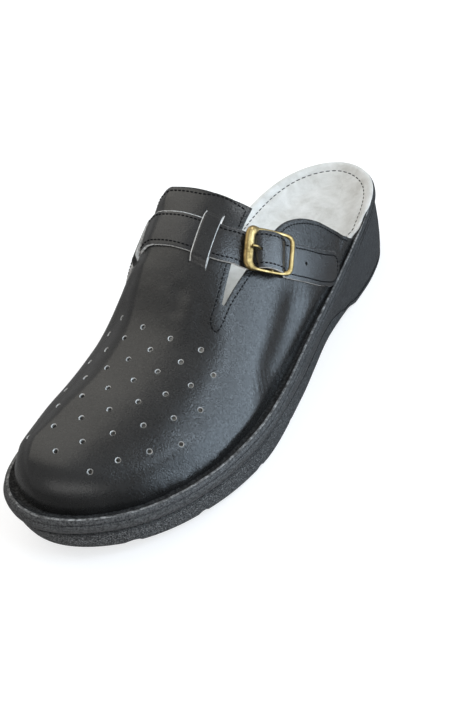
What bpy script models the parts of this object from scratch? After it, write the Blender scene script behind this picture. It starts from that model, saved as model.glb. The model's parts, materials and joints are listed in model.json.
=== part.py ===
"""Open-backed orthopaedic clog for the left foot: sole, insole, leather upper, strap and buckle.

The part stands on its tread. +Z is up, the toe points to -Y and the buckle side (lateral) to +X.
Stations run from the back of the heel (0) to the tip of the sole (1).
"""

import math

import bmesh
import bpy
import numpy as np
from mathutils import Matrix, Vector

MM = 0.001

# Driving sizes, mm
LENGTH = 282.0
BALL_WIDTH = 103.5
INSTEP_HEIGHT = 104.0
HEEL_HEIGHT = 45.5
TOE_SPRING = 9.5
GAP = 0.3

# Sole, mm
ARCH_RISE = 4.0
WAIST_UNDERCUT = 2.5
SOLE_ROWS = 34
GROOVE_DROP = 7.7
HEEL_GROOVE_DROP = 6.2
FLANGE_SWELL = 0.5
TOE_FLARE = 1.4
FLARE_STATIONS = (0.70, 0.95)
FLARE_HEADING = (0.6, -0.8)
BEAD_TOP = 1.1
BEAD_INNER = 1.9
BEAD_ROUND = 0.2
LEDGE_DROP = 1.2
LEDGE_INSET = 3.4
LEDGE_START = (46.0, 58.0)
LEDGE_EASE = 10.0
FEATHER_INSET = 5.0
FEATHER_CLEAR = 0.5
HEEL_LIP = 1.5
TREAD_DEPTH = 2.0
TREAD_WIDTH = 6.0
TREAD_REACH = 0.7
RIB_PITCH = 2.6
RIB_GROOVE = 1.3
RIB_DEPTH = 1.0
RIB_COUNT = 13
RIB_TAPER = 0.55
RIB_PATCH_WIDTH = 40.0
RIB_PATCH_STATION = 0.135

# Insole, mm
INSOLE_THICK = 3.0
INSOLE_DROP = 0.8
INSOLE_ROUND = 0.8
INSOLE_DEPTHS = (0.0, 1.2, 5.0, 10.0, 16.0)
INSOLE_BED = 0.5
ARCH_SUPPORT = 4.0
ARCH_STATION = 0.42
ARCH_SPREAD = 0.10

# Upper, mm
WALL = 1.6
TOE_POWER = 2.6
TOE_START = 258.0
SLIT_ROWS = (144.5, 170.0)
TONGUE_ROW = 136.0
NOTCH_ROW = 175.5
STRAP_SINK = 0.027
SINK_ROWS = (144.0, 151.0, 167.5, 175.5)
SINK_ANGLES = (14.0, -8.0)
PERFORATION = 2.8
PERFORATION_BOW = 0.32
PERFORATION_MIDDLE = (2.3, 3.0)

# Strap and buckle, mm
STRAP_WIDTH = 15.4
STRAP_THICK = 1.4
STRAP_STEP = 4.6
STRAP_TIP_ROWS = 6
STRAP_LIMITS = (-89.5, 89.0)
STRAP_SHARES = (-1.0, -0.5, 0.0, 0.5, 1.0)
STRAP_HOLE = 1.8
STRAP_HOLES = (26.0,)
PRONG_SLOT = (-9.6, -3.6, 2.3)
FRAME_HEIGHT = 3.95
BUCKLE_LENGTH = 24.0
BUCKLE_ACROSS = 20.8
BUCKLE_BOW = 3.8
BUCKLE_CORNER = 7.0
LEFT_BAR = 2.7
RIGHT_BAR = 1.8
SIDE_BAR = 1.1
BAR_SWELL = (0.55, 0.95)
BAR_FLATNESS = 0.68
CENTRE_BAR = 1.9
HOOK_WIRE = 1.3
HOOK_TURN = (-20.0, -165.0)

# Sole sections: lateral and medial edge over the ball width, inset of the lateral feather line,
# inset of the wall below the groove, share of the waist undercut, depth of the insole's cup.
STATION, LATERAL, MEDIAL, FEATHER, WALL_IN, UNDERCUT, CUP = range(7)
SOLE_SECTIONS = (
    # station, lateral, medial, feather_mm, wall_mm, undercut, cup_mm
    (0.050, 0.242, -0.237, 2.4, -0.3, 0.0, 6.0),
    (0.160, 0.343, -0.333, 2.4, -0.2, 0.0, 6.0),
    (0.260, 0.382, -0.338, 2.4, 0.6, 0.6, 5.5),
    (0.390, 0.425, -0.338, 2.5, 1.6, 1.0, 4.5),
    (0.530, 0.468, -0.394, 3.2, 2.0, 0.3, 3.0),
    (0.670, 0.517, -0.469, 4.2, 2.2, 0.0, 2.2),
    (0.740, 0.508, -0.489, 4.6, 2.2, 0.0, 2.0),
    (0.820, 0.465, -0.482, 4.8, 2.2, 0.0, 2.0),
    (0.940, 0.279, -0.380, FEATHER_INSET, 1.6, 0.0, 2.0),
)
TOE_SIDE = -0.077

# Side of the sole from the tread up to the bead: inset, shares of the sections' wall inset, waist
# undercut and toe flare, and height over a level.
SOLE_PROFILE = (
    # inset_mm, wall, undercut, flare, level, rise_mm
    (22.0, 0.0, 0.0, 0.0, "tread", 0.0),
    (3.8, 1.0, 1.0, 0.0, "tread", 0.0),
    (1.0, 1.0, 1.0, 0.3, "tread", 1.6),
    (0.0, 1.0, 0.7, 0.6, "wall", 0.0),
    (0.8, 0.3, 0.0, 0.8, "groove", -1.8),
    (2.6, 0.0, 0.0, 0.8, "groove", -1.1),
    (2.3, 0.0, 0.0, 0.8, "groove", -0.4),
    (0.5, 0.0, 0.0, 1.0, "groove", 0.0),
    (-FLANGE_SWELL, 0.0, 0.0, 1.0, "flange", 0.0),
    (-0.2, 0.0, 0.0, 0.3, "rim", -1.2),
    (0.4, 0.0, 0.0, 0.0, "rim", -0.2),
)

# Height of the flange rim over the heel height.
RIM = (
    # station, height
    (0.000, 1.000),
    (0.177, 0.890),
    (0.390, 0.736),
    (0.603, 0.538),
    (0.745, 0.505),
    (0.887, 0.538),
    (1.000, 0.626),
)

# Height of the tread: heel bevel and toe spring over TOE_SPRING, arch over ARCH_RISE.
TREAD = (
    # station, spring, arch
    (0.000, 0.32, 0.00),
    (0.060, 0.00, 0.00),
    (0.245, 0.00, 0.00),
    (0.290, 0.00, 0.85),
    (0.370, 0.00, 1.00),
    (0.470, 0.00, 0.35),
    (0.540, 0.00, 0.00),
    (0.674, 0.00, 0.00),
    (0.851, 0.42, 0.00),
    (1.000, 1.00, 0.00),
)

# Tread grooves across the forefoot and the waist: station of each groove.
TREAD_GROOVES = (0.600, 0.715, 0.841, 0.938)

# Upper sections: ridge height over the instep height, ridge side shift over the ball width,
# fullness (superellipse power) of the medial and lateral walls.
UPPER_SECTIONS = (
    # station, ridge, shift, medial, lateral
    (0.177, 0.962, -0.116, 2.00, 2.20),
    (0.301, 1.000, -0.135, 2.00, 2.20),
    (0.418, 1.007, -0.139, 1.99, 2.20),
    (0.479, 0.990, -0.126, 1.90, 2.20),
    (0.532, 0.940, -0.114, 1.75, 2.20),
    (0.585, 0.858, -0.101, 1.66, 2.20),
    (0.638, 0.745, -0.090, 1.57, 2.20),
    (0.709, 0.603, -0.073, 1.58, 2.20),
    (0.780, 0.540, -0.087, 1.58, 2.17),
    (0.851, 0.502, -0.133, 1.60, 2.15),
    (0.915, 0.469, -0.174, 1.60, 2.14),
)

# Rows of the upper, mm from the heel, up to the tip of the toe.
UPPER_ROWS = (
    73.5, 77.5, 82.0, 87.5, 94.0, 101.0, 109.0, 117.0, 125.0, 131.0, TONGUE_ROW, 140.0, SLIT_ROWS[0],
    147.0, 149.5, 153.5, 158.0, 162.3, 166.3, 168.2, SLIT_ROWS[1], NOTCH_ROW, 180.0, 186.0, 193.0,
    201.0, 209.0, 217.0, 225.0, 233.0, 241.0, 249.0, 256.0, 262.0, 267.0, 270.8, 273.6, 275.5, 276.6,
)

# Edges that cross the rows: top line of the medial quarter, of the flap and of the lateral wing.
QUARTER_EDGE = (
    # station_mm, angle
    (80.0, -90.0),
    (92.0, -78.0),
    (105.0, -67.0),
    (118.0, -57.0),
    (130.0, -48.0),
    (140.0, -40.0),
)
HEM_EDGE = (
    # station_mm, angle
    (80.0, -89.9),
    (92.0, -86.5),
)
FLAP_EDGE = (
    # station_mm, angle
    (130.0, 37.8),
    (150.7, 38.7),
    (175.5, 40.4),
)
WING_EDGE = (
    # station_mm, angle
    (66.0, 90.0),
    (71.9, 85.9),
    (88.3, 72.2),
    (100.1, 61.8),
    (111.4, 54.8),
    (122.0, 51.1),
    (141.3, 48.8),
    (153.9, 46.9),
    (165.6, 44.1),
    (175.5, 41.5),
)

# Columns of the upper round the foot, medial to lateral: where each strip starts, how far its rows
# lean back, how many strips follow up to the next column, the first row of those strips and how far
# a loop band stands up.
UPPER_COLUMNS = (
    # angle or edge, lean_mm, strips, first_row, lift_mm
    (-90.0, 4.0, 1, 77.5, 0.0),
    (HEM_EDGE, 4.0, 4, 77.5, 0.0),
    (QUARTER_EDGE, 4.0, 2, TONGUE_ROW, 0.0),
    (-26.0, 4.0, 1, SLIT_ROWS[1], 0.0),
    (-25.0, 4.0, 2, TONGUE_ROW, 3.9),
    (-17.0, 4.0, 1, SLIT_ROWS[1], 3.9),
    (-16.0, 4.0, 3, TONGUE_ROW, 0.0),
    (2.0, 2.0, 2, TONGUE_ROW, 0.0),
    (20.9, -1.0, 1, SLIT_ROWS[1], 0.0),
    (21.9, -1.5, 2, TONGUE_ROW, 3.8),
    (28.4, -3.0, 1, SLIT_ROWS[1], 3.8),
    (29.4, -3.0, 1, TONGUE_ROW, 0.0),
    (FLAP_EDGE, -6.0, 1, NOTCH_ROW, 0.0),
    (WING_EDGE, -6.0, 7, 73.5, 0.0),
    (90.0, -6.0, 0, 0.0, 0.0),
)
BAND_RISE = (
    # row_mm, share of the lift
    (SLIT_ROWS[0], 0.0),
    (147.0, 0.75),
    (149.5, 1.0),
    (166.3, 1.0),
    (168.2, 0.6),
    (SLIT_ROWS[1], 0.0),
)

# Perforations: station and arc of the middle of each row, distance between its half places, its
# first half place and its number of holes.
PERFORATION_ROWS = (
    # station_mm, arc_mm, pitch_mm, first_place, holes
    (196.7, 14.3, 7.5, 0, 4),
    (204.1, 15.2, 7.7, -1, 5),
    (211.8, 16.0, 7.9, 0, 4),
    (219.6, 16.9, 8.0, -1, 5),
    (227.7, 17.7, 8.2, 0, 4),
    (236.1, 18.6, 8.4, -1, 5),
    (244.6, 19.4, 8.5, 0, 4),
    (253.4, 20.3, 8.7, 1, 3),
    (262.4, 21.1, 8.9, 2, 3),
)

# Centre line of the strap over the upper, from its sewn medial end to its tip.
STRAP_PATH = (
    # station_mm, angle, lift_mm
    (161.5, -64.0, 0.3),
    (160.4, -45.0, 0.35),
    (159.1, -21.0, 0.4),
    (159.2, -2.0, 0.35),
    (157.8, 21.0, 0.3),
    (155.9, 30.8, 0.3),
    (151.6, 39.6, 0.3),
    (149.6, 43.8, 0.3),
    (148.4, 45.0, 1.0),
    (146.8, 46.7, 3.6),
    (145.0, 48.6, 4.9),
    (142.6, 51.2, 5.3),
    (140.2, 53.8, 4.9),
    (138.4, 55.7, 3.6),
    (136.8, 57.4, 1.0),
    (135.6, 58.7, 0.3),
    (130.0, 63.8, 0.3),
    (122.0, 69.9, 0.3),
    (114.2, 75.7, 0.3),
    (104.0, 82.2, 0.3),
    (95.0, 87.2, 0.3),
)
STRAP_CENTRE = 11
STRAP_BULGE = (7, 15, 17)

# Prong of the buckle, from its hook round the centre bar to its tip on the left bar.
PRONG_PATH = (
    # along_mm, height_mm
    (-4.6, 0.0),
    (-6.6, 0.8),
    (-8.6, 2.2),
    (-10.2, 2.85),
    (-12.2, 2.75),
)

MATERIALS = {
    # name: red, green, blue, roughness, metallic
    "sole": (0.020, 0.020, 0.022, 0.55, 0.0),
    "insole": (0.62, 0.61, 0.58, 0.95, 0.0),
    "upper": (0.022, 0.021, 0.021, 0.38, 0.0),
    "strap": (0.020, 0.020, 0.022, 0.36, 0.0),
    "buckle": (0.48, 0.36, 0.16, 0.32, 1.0),
    "buckle_prong": (0.48, 0.36, 0.16, 0.32, 1.0),
}


def smooth(table, index, at):
    """Monotone cubic through one column of a table, held level beyond its ends."""
    rows = np.array([[row[0], row[index]] for row in table])
    known, value = rows[:, 0], rows[:, 1]
    step = np.diff(known)
    rise = np.diff(value) / step
    slope = np.zeros(len(known))
    same = rise[:-1] * rise[1:] > 0
    first = np.where(same, rise[:-1], 1.0)
    second = np.where(same, rise[1:], 1.0)
    before = 2 * step[1:] + step[:-1]
    after = step[1:] + 2 * step[:-1]
    slope[1:-1] = np.where(same, (before + after) / (before / first + after / second), 0.0)
    slope[0], slope[-1] = rise[0], rise[-1]
    at = np.clip(np.asarray(at, float), known[0], known[-1])
    i = np.clip(np.searchsorted(known, at) - 1, 0, len(step) - 1)
    t = (at - known[i]) / step[i]
    start = value[i] * (1 + 2 * t) * (1 - t) ** 2 + step[i] * slope[i] * t * (1 - t) ** 2
    return start + value[i + 1] * t * t * (3 - 2 * t) + step[i] * slope[i + 1] * t * t * (t - 1)


def ease(low, high, at):
    """Rises from 0 to 1 between two values."""
    t = np.clip((np.asarray(at, float) - low) / (high - low), 0.0, 1.0)
    return t * t * (3 - 2 * t)


def closed_curve(points, count):
    """Smooth closed line through the points."""
    points = np.array(points, float)
    number = len(points)
    step = np.linalg.norm(np.roll(points, -1, 0) - points, axis=1) ** 0.5
    system = np.zeros((number, number))
    right = np.zeros((number, 2))
    for i in range(number):
        j = (i + 1) % number
        system[i, i - 1] += step[i - 1]
        system[i, i] += 2 * (step[i - 1] + step[i])
        system[i, j] += step[i]
        right[i] = 6 * ((points[j] - points[i]) / step[i] - (points[i] - points[i - 1]) / step[i - 1])
    bend = np.linalg.solve(system, right)
    knots = np.concatenate([[0.0], np.cumsum(step)])
    at = np.linspace(0.0, knots[-1], count, endpoint=False)
    i = np.clip(np.searchsorted(knots, at, side="right") - 1, 0, number - 1)
    j = (i + 1) % number
    h = step[i][:, None]
    u = (at - knots[i])[:, None]
    v = h - u
    cubic = (bend[i] * v**3 + bend[j] * u**3) / (6 * h)
    return cubic + (points[i] / h - bend[i] * h / 6) * v + (points[j] / h - bend[j] * h / 6) * u


def sole_outline():
    """Outline of the flange as (station, side) in mm, with its outward normals."""
    lateral = [(row[0] * LENGTH, row[1] * BALL_WIDTH) for row in SOLE_SECTIONS]
    medial = [(row[0] * LENGTH, row[2] * BALL_WIDTH) for row in SOLE_SECTIONS]
    toe = (LENGTH, TOE_SIDE * BALL_WIDTH)
    line = closed_curve([(0.0, 0.0), *lateral, toe, *medial[::-1]], 1440)
    along = np.roll(line, -1, 0) - np.roll(line, 1, 0)
    normal = np.stack([-along[:, 1], along[:, 0]], 1)
    return line, normal / np.linalg.norm(normal, axis=1)[:, None]


OUTLINE, OUTWARD = sole_outline()


def split_sides(line):
    """Lateral and medial halves of a closed line, each from heel to toe."""
    heel, toe = line[:, 0].argmin(), line[:, 0].argmax()
    around = np.roll(line, -heel, 0)
    turn = (toe - heel) % len(line)
    return around[: turn + 1], np.vstack([around[turn:], around[:1]])[::-1]


def rim(station):
    return HEEL_HEIGHT * smooth(RIM, 1, station / LENGTH)


def tread(station):
    share = station / LENGTH
    return TOE_SPRING * smooth(TREAD, 1, share) + ARCH_RISE * smooth(TREAD, 2, share)


def ring_base():
    """Matching lateral and medial places round the outline: point, normal and side of each."""
    shares = (1 - np.cos(np.linspace(0.0, math.pi, SOLE_ROWS + 1))) / 2
    lateral, medial = split_sides(np.hstack([OUTLINE, OUTWARD]))
    rows = []
    for half in (lateral, medial):
        station = half[0, 0] + shares * (half[-1, 0] - half[0, 0])
        rows.append(np.stack([np.interp(station, half[:, 0], half[:, k]) for k in range(4)], 1))
    around = np.vstack([rows[0], rows[1][-2:0:-1]])
    side = np.array([1.0] * (SOLE_ROWS + 1) + [-1.0] * (SOLE_ROWS - 1))
    return around[:, :2], around[:, 2:] / np.linalg.norm(around[:, 2:], axis=1)[:, None], side


RING_POINT, RING_NORMAL, RING_SIDE = ring_base()


def toe_flare():
    """How far the flange stands out round the medial side of the toe."""
    facing = np.clip(RING_NORMAL @ FLARE_HEADING, 0.0, 1.0)
    return TOE_FLARE * facing * ease(*FLARE_STATIONS, RING_POINT[:, 0] / LENGTH)


WIDEST = RING_POINT + (FLANGE_SWELL + toe_flare())[:, None] * RING_NORMAL
STATION_MIDDLE, SIDE_MIDDLE = (WIDEST.max(axis=0) + WIDEST.min(axis=0)) / 2


def place(station, side, height):
    """Point or points in the part's frame, metres."""
    points = np.broadcast_arrays(side - SIDE_MIDDLE, STATION_MIDDLE - station, height)
    return np.stack(points, -1) * MM


def ring(inset, height):
    """Closed row of points, moved in from the outline, at a height given by its stations."""
    moved = RING_POINT - np.broadcast_to(inset, len(RING_POINT))[:, None] * RING_NORMAL
    return place(moved[:, 0], moved[:, 1], height(np.clip(moved[:, 0], 0.0, LENGTH)))


def feather_inset(station, side):
    """Inset of the feather line, where the upper meets the ledge of the sole."""
    return np.where(side > 0, smooth(SOLE_SECTIONS, FEATHER, station / LENGTH), FEATHER_INSET)


RING_FEATHER = feather_inset(RING_POINT[:, 0], RING_SIDE)


def under_upper():
    """Share by which each place of the ring lies under the upper; the heel is open."""
    start = np.where(RING_SIDE > 0, *LEDGE_START)
    return ease(0.0, LEDGE_EASE, RING_POINT[:, 0] - start)


def recess_inset():
    """Inset of the recess for the insole: a thin lip round the open heel, a ledge under the upper."""
    return HEEL_LIP + (RING_FEATHER + WALL + GAP - HEEL_LIP) * under_upper()


def insole_top(depth):
    """Height function of the insole's top, a given distance in from its edge."""
    share = RING_POINT[:, 0] / LENGTH
    arch = ARCH_SUPPORT * np.exp(-(((share - ARCH_STATION) / ARCH_SPREAD) ** 2)) * (RING_SIDE < 0)
    drop = INSOLE_DROP + (smooth(SOLE_SECTIONS, CUP, share) - arch) * ease(0.0, INSOLE_DEPTHS[-1], depth)
    return lambda station: rim(station) - drop


def lowered(height, drop):
    return lambda station: height(station) - drop


def link(mesh, name, collection):
    obj = bpy.data.objects.new(name, mesh)
    collection.objects.link(obj)
    return obj


def finish_mesh(work, name, collection):
    mesh = bpy.data.meshes.new(name)
    work.to_mesh(mesh)
    work.free()
    return link(mesh, name, collection)


def loft(name, rings, collection):
    """Solid through closed rows of points; its ends are closed from side to side."""
    count = len(rings[0])
    work = bmesh.new()
    rows = [[work.verts.new(point) for point in row] for row in rings]
    for lower, upper in zip(rows, rows[1:]):
        for i in range(count):
            j = (i + 1) % count
            work.faces.new((lower[i], lower[j], upper[j], upper[i]))
    for row in (rows[0], rows[-1]):
        for i in range(count // 2):
            corners = (row[i], row[i + 1], row[(count - i - 1) % count], row[(count - i) % count])
            work.faces.new(list(dict.fromkeys(corners)))
    bmesh.ops.recalc_face_normals(work, faces=work.faces)
    return finish_mesh(work, name, collection)


def cut(target, cutters):
    modifier = target.modifiers.new("cut", "BOOLEAN")
    modifier.operation = "DIFFERENCE"
    modifier.solver = "EXACT"
    modifier.operand_type = "COLLECTION"
    modifier.collection = cutters


def cylinder(name, start, end, diameter, sides, collection):
    """Round bar between two points in metres."""
    axis = Vector(end) - Vector(start)
    work = bmesh.new()
    radius = diameter / 2 * MM
    bmesh.ops.create_cone(
        work, cap_ends=True, segments=sides, radius1=radius, radius2=radius, depth=axis.length
    )
    turn = axis.to_track_quat("Z", "Y").to_matrix().to_4x4()
    work.transform(Matrix.Translation((Vector(start) + Vector(end)) / 2) @ turn)
    return finish_mesh(work, name, collection)


def box(name, centre, axes, size, collection):
    """Block with its edges along the given axes; centre in metres, size in mm."""
    work = bmesh.new()
    bmesh.ops.create_cube(work, size=1.0)
    turn = Matrix([Vector(axis) for axis in axes]).transposed().to_4x4()
    scale = Matrix.Diagonal((*(side * MM for side in size), 1.0))
    work.transform(Matrix.Translation(Vector(centre)) @ turn @ scale)
    return finish_mesh(work, name, collection)


def groove(station):
    """Height of the upper edge of the groove that runs round the sole."""
    drop = HEEL_GROOVE_DROP + (GROOVE_DROP - HEEL_GROOVE_DROP) * ease(0.1, 0.4, station / LENGTH)
    return rim(station) - drop


SOLE_LEVELS = {
    "tread": tread,
    "wall": lambda station: (tread(station) + groove(station)) / 2,
    "groove": groove,
    "flange": lambda station: (groove(station) + rim(station)) / 2,
    "rim": rim,
}


def side_rings():
    """Rows of points up the side of the sole."""
    share = RING_POINT[:, 0] / LENGTH
    wall_in = smooth(SOLE_SECTIONS, WALL_IN, share)
    waist = WAIST_UNDERCUT * smooth(SOLE_SECTIONS, UNDERCUT, share)
    flare = toe_flare()
    rings = []
    for inset, wall, undercut, outward, level, rise in SOLE_PROFILE:
        moved = inset + wall * wall_in + undercut * waist - outward * flare
        rings.append(ring(moved, lowered(SOLE_LEVELS[level], -rise)))
    return rings


def top_rings():
    """Rows of points over the bead, the ledge under the upper and the recess for the insole."""
    under = under_upper()
    recess = recess_inset()
    lip = HEEL_LIP - GAP + (np.minimum(LEDGE_INSET, RING_FEATHER - FEATHER_CLEAR) - HEEL_LIP + GAP) * under
    ledge = lowered(rim, BEAD_ROUND + LEDGE_DROP * under)
    floor = INSOLE_THICK + INSOLE_BED
    beds = [depth for depth in INSOLE_DEPTHS if depth not in (0.0, INSOLE_DEPTHS[1])]
    return [
        ring(np.minimum(BEAD_TOP, lip / 2), rim),
        ring(np.minimum(BEAD_INNER, lip - GAP), lowered(rim, BEAD_ROUND)),
        ring(lip, ledge),
        ring(recess, ledge),
        ring(recess, lowered(insole_top(0.0), floor)),
        *(ring(recess + GAP + depth, lowered(insole_top(depth), floor)) for depth in beds),
    ]


def make_sole(collection, cutters):
    sole = loft("sole", side_rings() + top_rings(), collection)
    radius = (TREAD_WIDTH**2 / 4 + TREAD_DEPTH**2) / (2 * TREAD_DEPTH)
    reach = TREAD_REACH * BALL_WIDTH
    for number, share in enumerate(TREAD_GROOVES):
        height = tread(share * LENGTH) + TREAD_DEPTH - radius
        start, end = (place(share * LENGTH, side, height) for side in (-reach, reach))
        cylinder(f"tread_groove_{number}", start, end, 2 * radius, 20, cutters)
    middle = (RIB_COUNT - 1) / 2
    for number in range(RIB_COUNT):
        width = RIB_PATCH_WIDTH * (1 - RIB_TAPER * abs(number / middle - 1) ** 1.5)
        centre = place(RIB_PATCH_STATION * LENGTH + (number - middle) * RIB_PITCH, 0.0, 0.0)
        box(f"heel_rib_{number}", centre, np.eye(3), (width, RIB_GROOVE, 2 * RIB_DEPTH), cutters)
    cut(sole, cutters)
    return sole


def make_insole(collection):
    edge = recess_inset() + GAP
    under = [ring(edge + depth, lowered(insole_top(depth), INSOLE_THICK)) for depth in INSOLE_DEPTHS]
    over = [ring(edge + depth, insole_top(depth)) for depth in INSOLE_DEPTHS[1:]]
    border = ring(edge, lowered(insole_top(0.0), INSOLE_ROUND))
    return loft("insole", [under[0], *under[2:]][::-1] + [border] + over, collection)


def feather_lines():
    """Lateral and medial feather lines, each from heel to toe."""
    side = np.where(np.arange(len(OUTLINE)) <= OUTLINE[:, 0].argmax(), 1.0, -1.0)
    inset = feather_inset(OUTLINE[:, 0], side)
    return split_sides(OUTLINE - inset[:, None] * OUTWARD)


FEATHER_LATERAL, FEATHER_MEDIAL = feather_lines()
TOE_TIP, TOE_TIP_SIDE = FEATHER_LATERAL[-1]
FEATHER_DROP = LEDGE_DROP - GAP


def upper_surface(station, angle, lift=0.0):
    """Outer face of the upper at a station (mm) and an angle round the foot, -90 medial to 90 lateral.

    Each section is a pair of superellipse quarters from the ridge down to the feather line.
    """
    station, angle, lift = np.broadcast_arrays(*(np.asarray(v, float) for v in (station, angle, lift)))
    inner = np.minimum(station, TOE_START)
    share = inner / LENGTH
    dome = np.clip((station - TOE_START) / (TOE_TIP - TOE_START), 0.0, 1.0)
    base = rim(station) - FEATHER_DROP
    last = UPPER_SECTIONS[-1], UPPER_SECTIONS[-2]
    fall = (last[0][1] - last[1][1]) / (last[0][0] - last[1][0]) * INSTEP_HEIGHT / LENGTH
    ridge = INSTEP_HEIGHT * smooth(UPPER_SECTIONS, 1, share) + fall * (station - inner)
    ridge = base + (ridge - base) * (1 - dome**TOE_POWER) ** (1 / TOE_POWER)
    lateral = np.interp(station, *FEATHER_LATERAL.T)
    medial = np.interp(station, *FEATHER_MEDIAL.T)
    full = np.interp(TOE_START, *FEATHER_LATERAL.T) - np.interp(TOE_START, *FEATHER_MEDIAL.T)
    narrow = np.where(station > TOE_START, np.clip((lateral - medial) / full, 0.0, 1.0), 1.0)
    middle = TOE_TIP_SIDE + (BALL_WIDTH * smooth(UPPER_SECTIONS, 2, share) - TOE_TIP_SIDE) * narrow
    power = np.where(angle >= 0, smooth(UPPER_SECTIONS, 4, share), smooth(UPPER_SECTIONS, 3, share))
    up = np.abs(np.cos(np.radians(angle)))
    out = np.abs(np.sin(np.radians(angle)))
    pressed = ease(*SINK_ROWS[:2], station) * (1 - ease(*SINK_ROWS[2:], station))
    pressed = pressed * ease(*SINK_ANGLES, angle)
    reach = (up**power + out**power) ** (-1 / power) * (1 - STRAP_SINK * pressed)
    half = np.where(angle >= 0, lateral - middle, medial - middle)
    point = place(station, middle + half * reach * out, base + (ridge - base) * reach * up)
    if np.any(lift):
        point = point + upper_normal(station, angle) * lift[..., None] * MM
    return point


def upper_slopes(station, angle):
    """Change of the outer face per mm along the foot and per degree round it, in mm."""
    angle = np.clip(angle, -89.9, 89.9)
    along = upper_surface(np.minimum(station + 0.02, TOE_TIP), angle) - upper_surface(station - 0.02, angle)
    round_it = upper_surface(station, angle + 0.02) - upper_surface(station, angle - 0.02)
    return along / (0.04 * MM), round_it / (0.04 * MM)


def upper_normal(station, angle):
    along, round_it = upper_slopes(station, angle)
    normal = np.cross(round_it, along)
    return -normal / np.linalg.norm(normal, axis=-1, keepdims=True)


def column_angle(angle, station):
    return smooth(angle, 1, station) if isinstance(angle, tuple) else np.full_like(station, angle)


def leather_rows(rows, first_row):
    """Rows of a strip that are leather; a strip below a slit also runs across the top of the tongue."""
    present = rows >= first_row
    if first_row == SLIT_ROWS[1]:
        present |= (rows >= TONGUE_ROW) & (rows < SLIT_ROWS[0])
    return present


def upper_grid():
    """Outer face of the upper as columns of points over the rows, with the strips that are leather."""
    rows = np.array(UPPER_ROWS)
    fade = 1 - np.clip((rows - TONGUE_ROW) / (NOTCH_ROW - TONGUE_ROW), 0.0, 1.0)
    rise = smooth(BAND_RISE, 1, rows)
    columns = []
    strips = []
    for here, after in zip(UPPER_COLUMNS, UPPER_COLUMNS[1:]):
        banded = here[4] > 0 and after[4] > 0
        for piece in range(here[2]):
            part = piece / here[2]
            station = rows + (here[1] + (after[1] - here[1]) * part) * fade
            start, end = column_angle(here[0], station), column_angle(after[0], station)
            lift = rise * (here[4] if piece == 0 or banded else 0.0)
            columns.append(upper_surface(station, start + (end - start) * part, lift))
            strips.append(leather_rows(rows, here[3]))
    last = rows + UPPER_COLUMNS[-1][1] * fade
    columns.append(upper_surface(last, UPPER_COLUMNS[-1][0]))
    return columns, strips


def make_upper(collection, cutters):
    columns, strips = upper_grid()
    count = len(UPPER_ROWS)
    work = bmesh.new()
    made = {}

    def vertex(column, row):
        if (column, row) not in made:
            made[column, row] = work.verts.new(columns[column][row])
        return made[column, row]

    for column, present in enumerate(strips):
        for row in range(count - 1):
            if present[row]:
                corners = ((column, row), (column + 1, row), (column + 1, row + 1), (column, row + 1))
                work.faces.new([vertex(*corner) for corner in reversed(corners)])
    tip = work.verts.new(upper_surface(TOE_TIP, 90.0))
    for column in range(len(strips)):
        work.faces.new((tip, vertex(column + 1, count - 1), vertex(column, count - 1)))
    mesh = bpy.data.meshes.new("upper")
    work.to_mesh(mesh)
    work.free()
    upper = link(mesh, "upper", collection)
    wall = upper.modifiers.new("wall", "SOLIDIFY")
    wall.thickness = WALL * MM
    wall.offset = -1.0
    wall.use_even_offset = True
    make_perforations(cutters)
    cut(upper, cutters)
    return upper


def angle_at_arc(station, arc):
    """Angle round the foot of a place an arc length (mm) from the ridge, lateral positive."""
    angle = np.linspace(-89.0, 89.0, 357)
    line = upper_surface(np.full_like(angle, station), angle) / MM
    length = np.concatenate([[0.0], np.cumsum(np.linalg.norm(np.diff(line, axis=0), axis=1))])
    length -= np.interp(0.0, angle, length)
    return float(np.interp(arc, length, angle))


def make_perforations(cutters):
    bow_middle, arc_middle = PERFORATION_MIDDLE
    for row, (row_station, row_arc, pitch, first, holes) in enumerate(PERFORATION_ROWS):
        for hole in range(holes):
            place_in_row = first + 2 * hole
            station = row_station - PERFORATION_BOW * (place_in_row - bow_middle) ** 2
            angle = angle_at_arc(station, row_arc + (arc_middle - place_in_row) * pitch)
            start, end = (upper_surface(station, angle, lift) for lift in (-2.5 * WALL, 1.5 * WALL))
            cylinder(f"perforation_{row}_{hole}", start, end, PERFORATION, 8, cutters)


def strap_line():
    """Centre line of the strap: station, angle, lift and run (mm from the buckle's centre bar)."""
    path = np.array(STRAP_PATH)
    points = upper_surface(path[:, 0], path[:, 1]) / MM
    run = np.concatenate([[0.0], np.cumsum(np.linalg.norm(np.diff(points, axis=0), axis=1))])
    run -= run[STRAP_CENTRE]
    at = np.linspace(run[0], run[-1], int((run[-1] - run[0]) / STRAP_STEP))
    first, last, count = STRAP_BULGE
    near = np.linspace(run[first], run[last], count)
    at = np.concatenate([at[at < near[0] - 1.0], near, at[at > near[-1] + 1.0]])
    tip = at[-1] - STRAP_WIDTH / 2 * (1 - np.cos(np.linspace(0.0, math.pi / 2, STRAP_TIP_ROWS)))
    at = np.concatenate([at[at < tip[-1] - 0.5], tip[::-1]])
    return np.stack([smooth(list(zip(run, path[:, k])), 1, at) for k in range(3)] + [at], 1)


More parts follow.
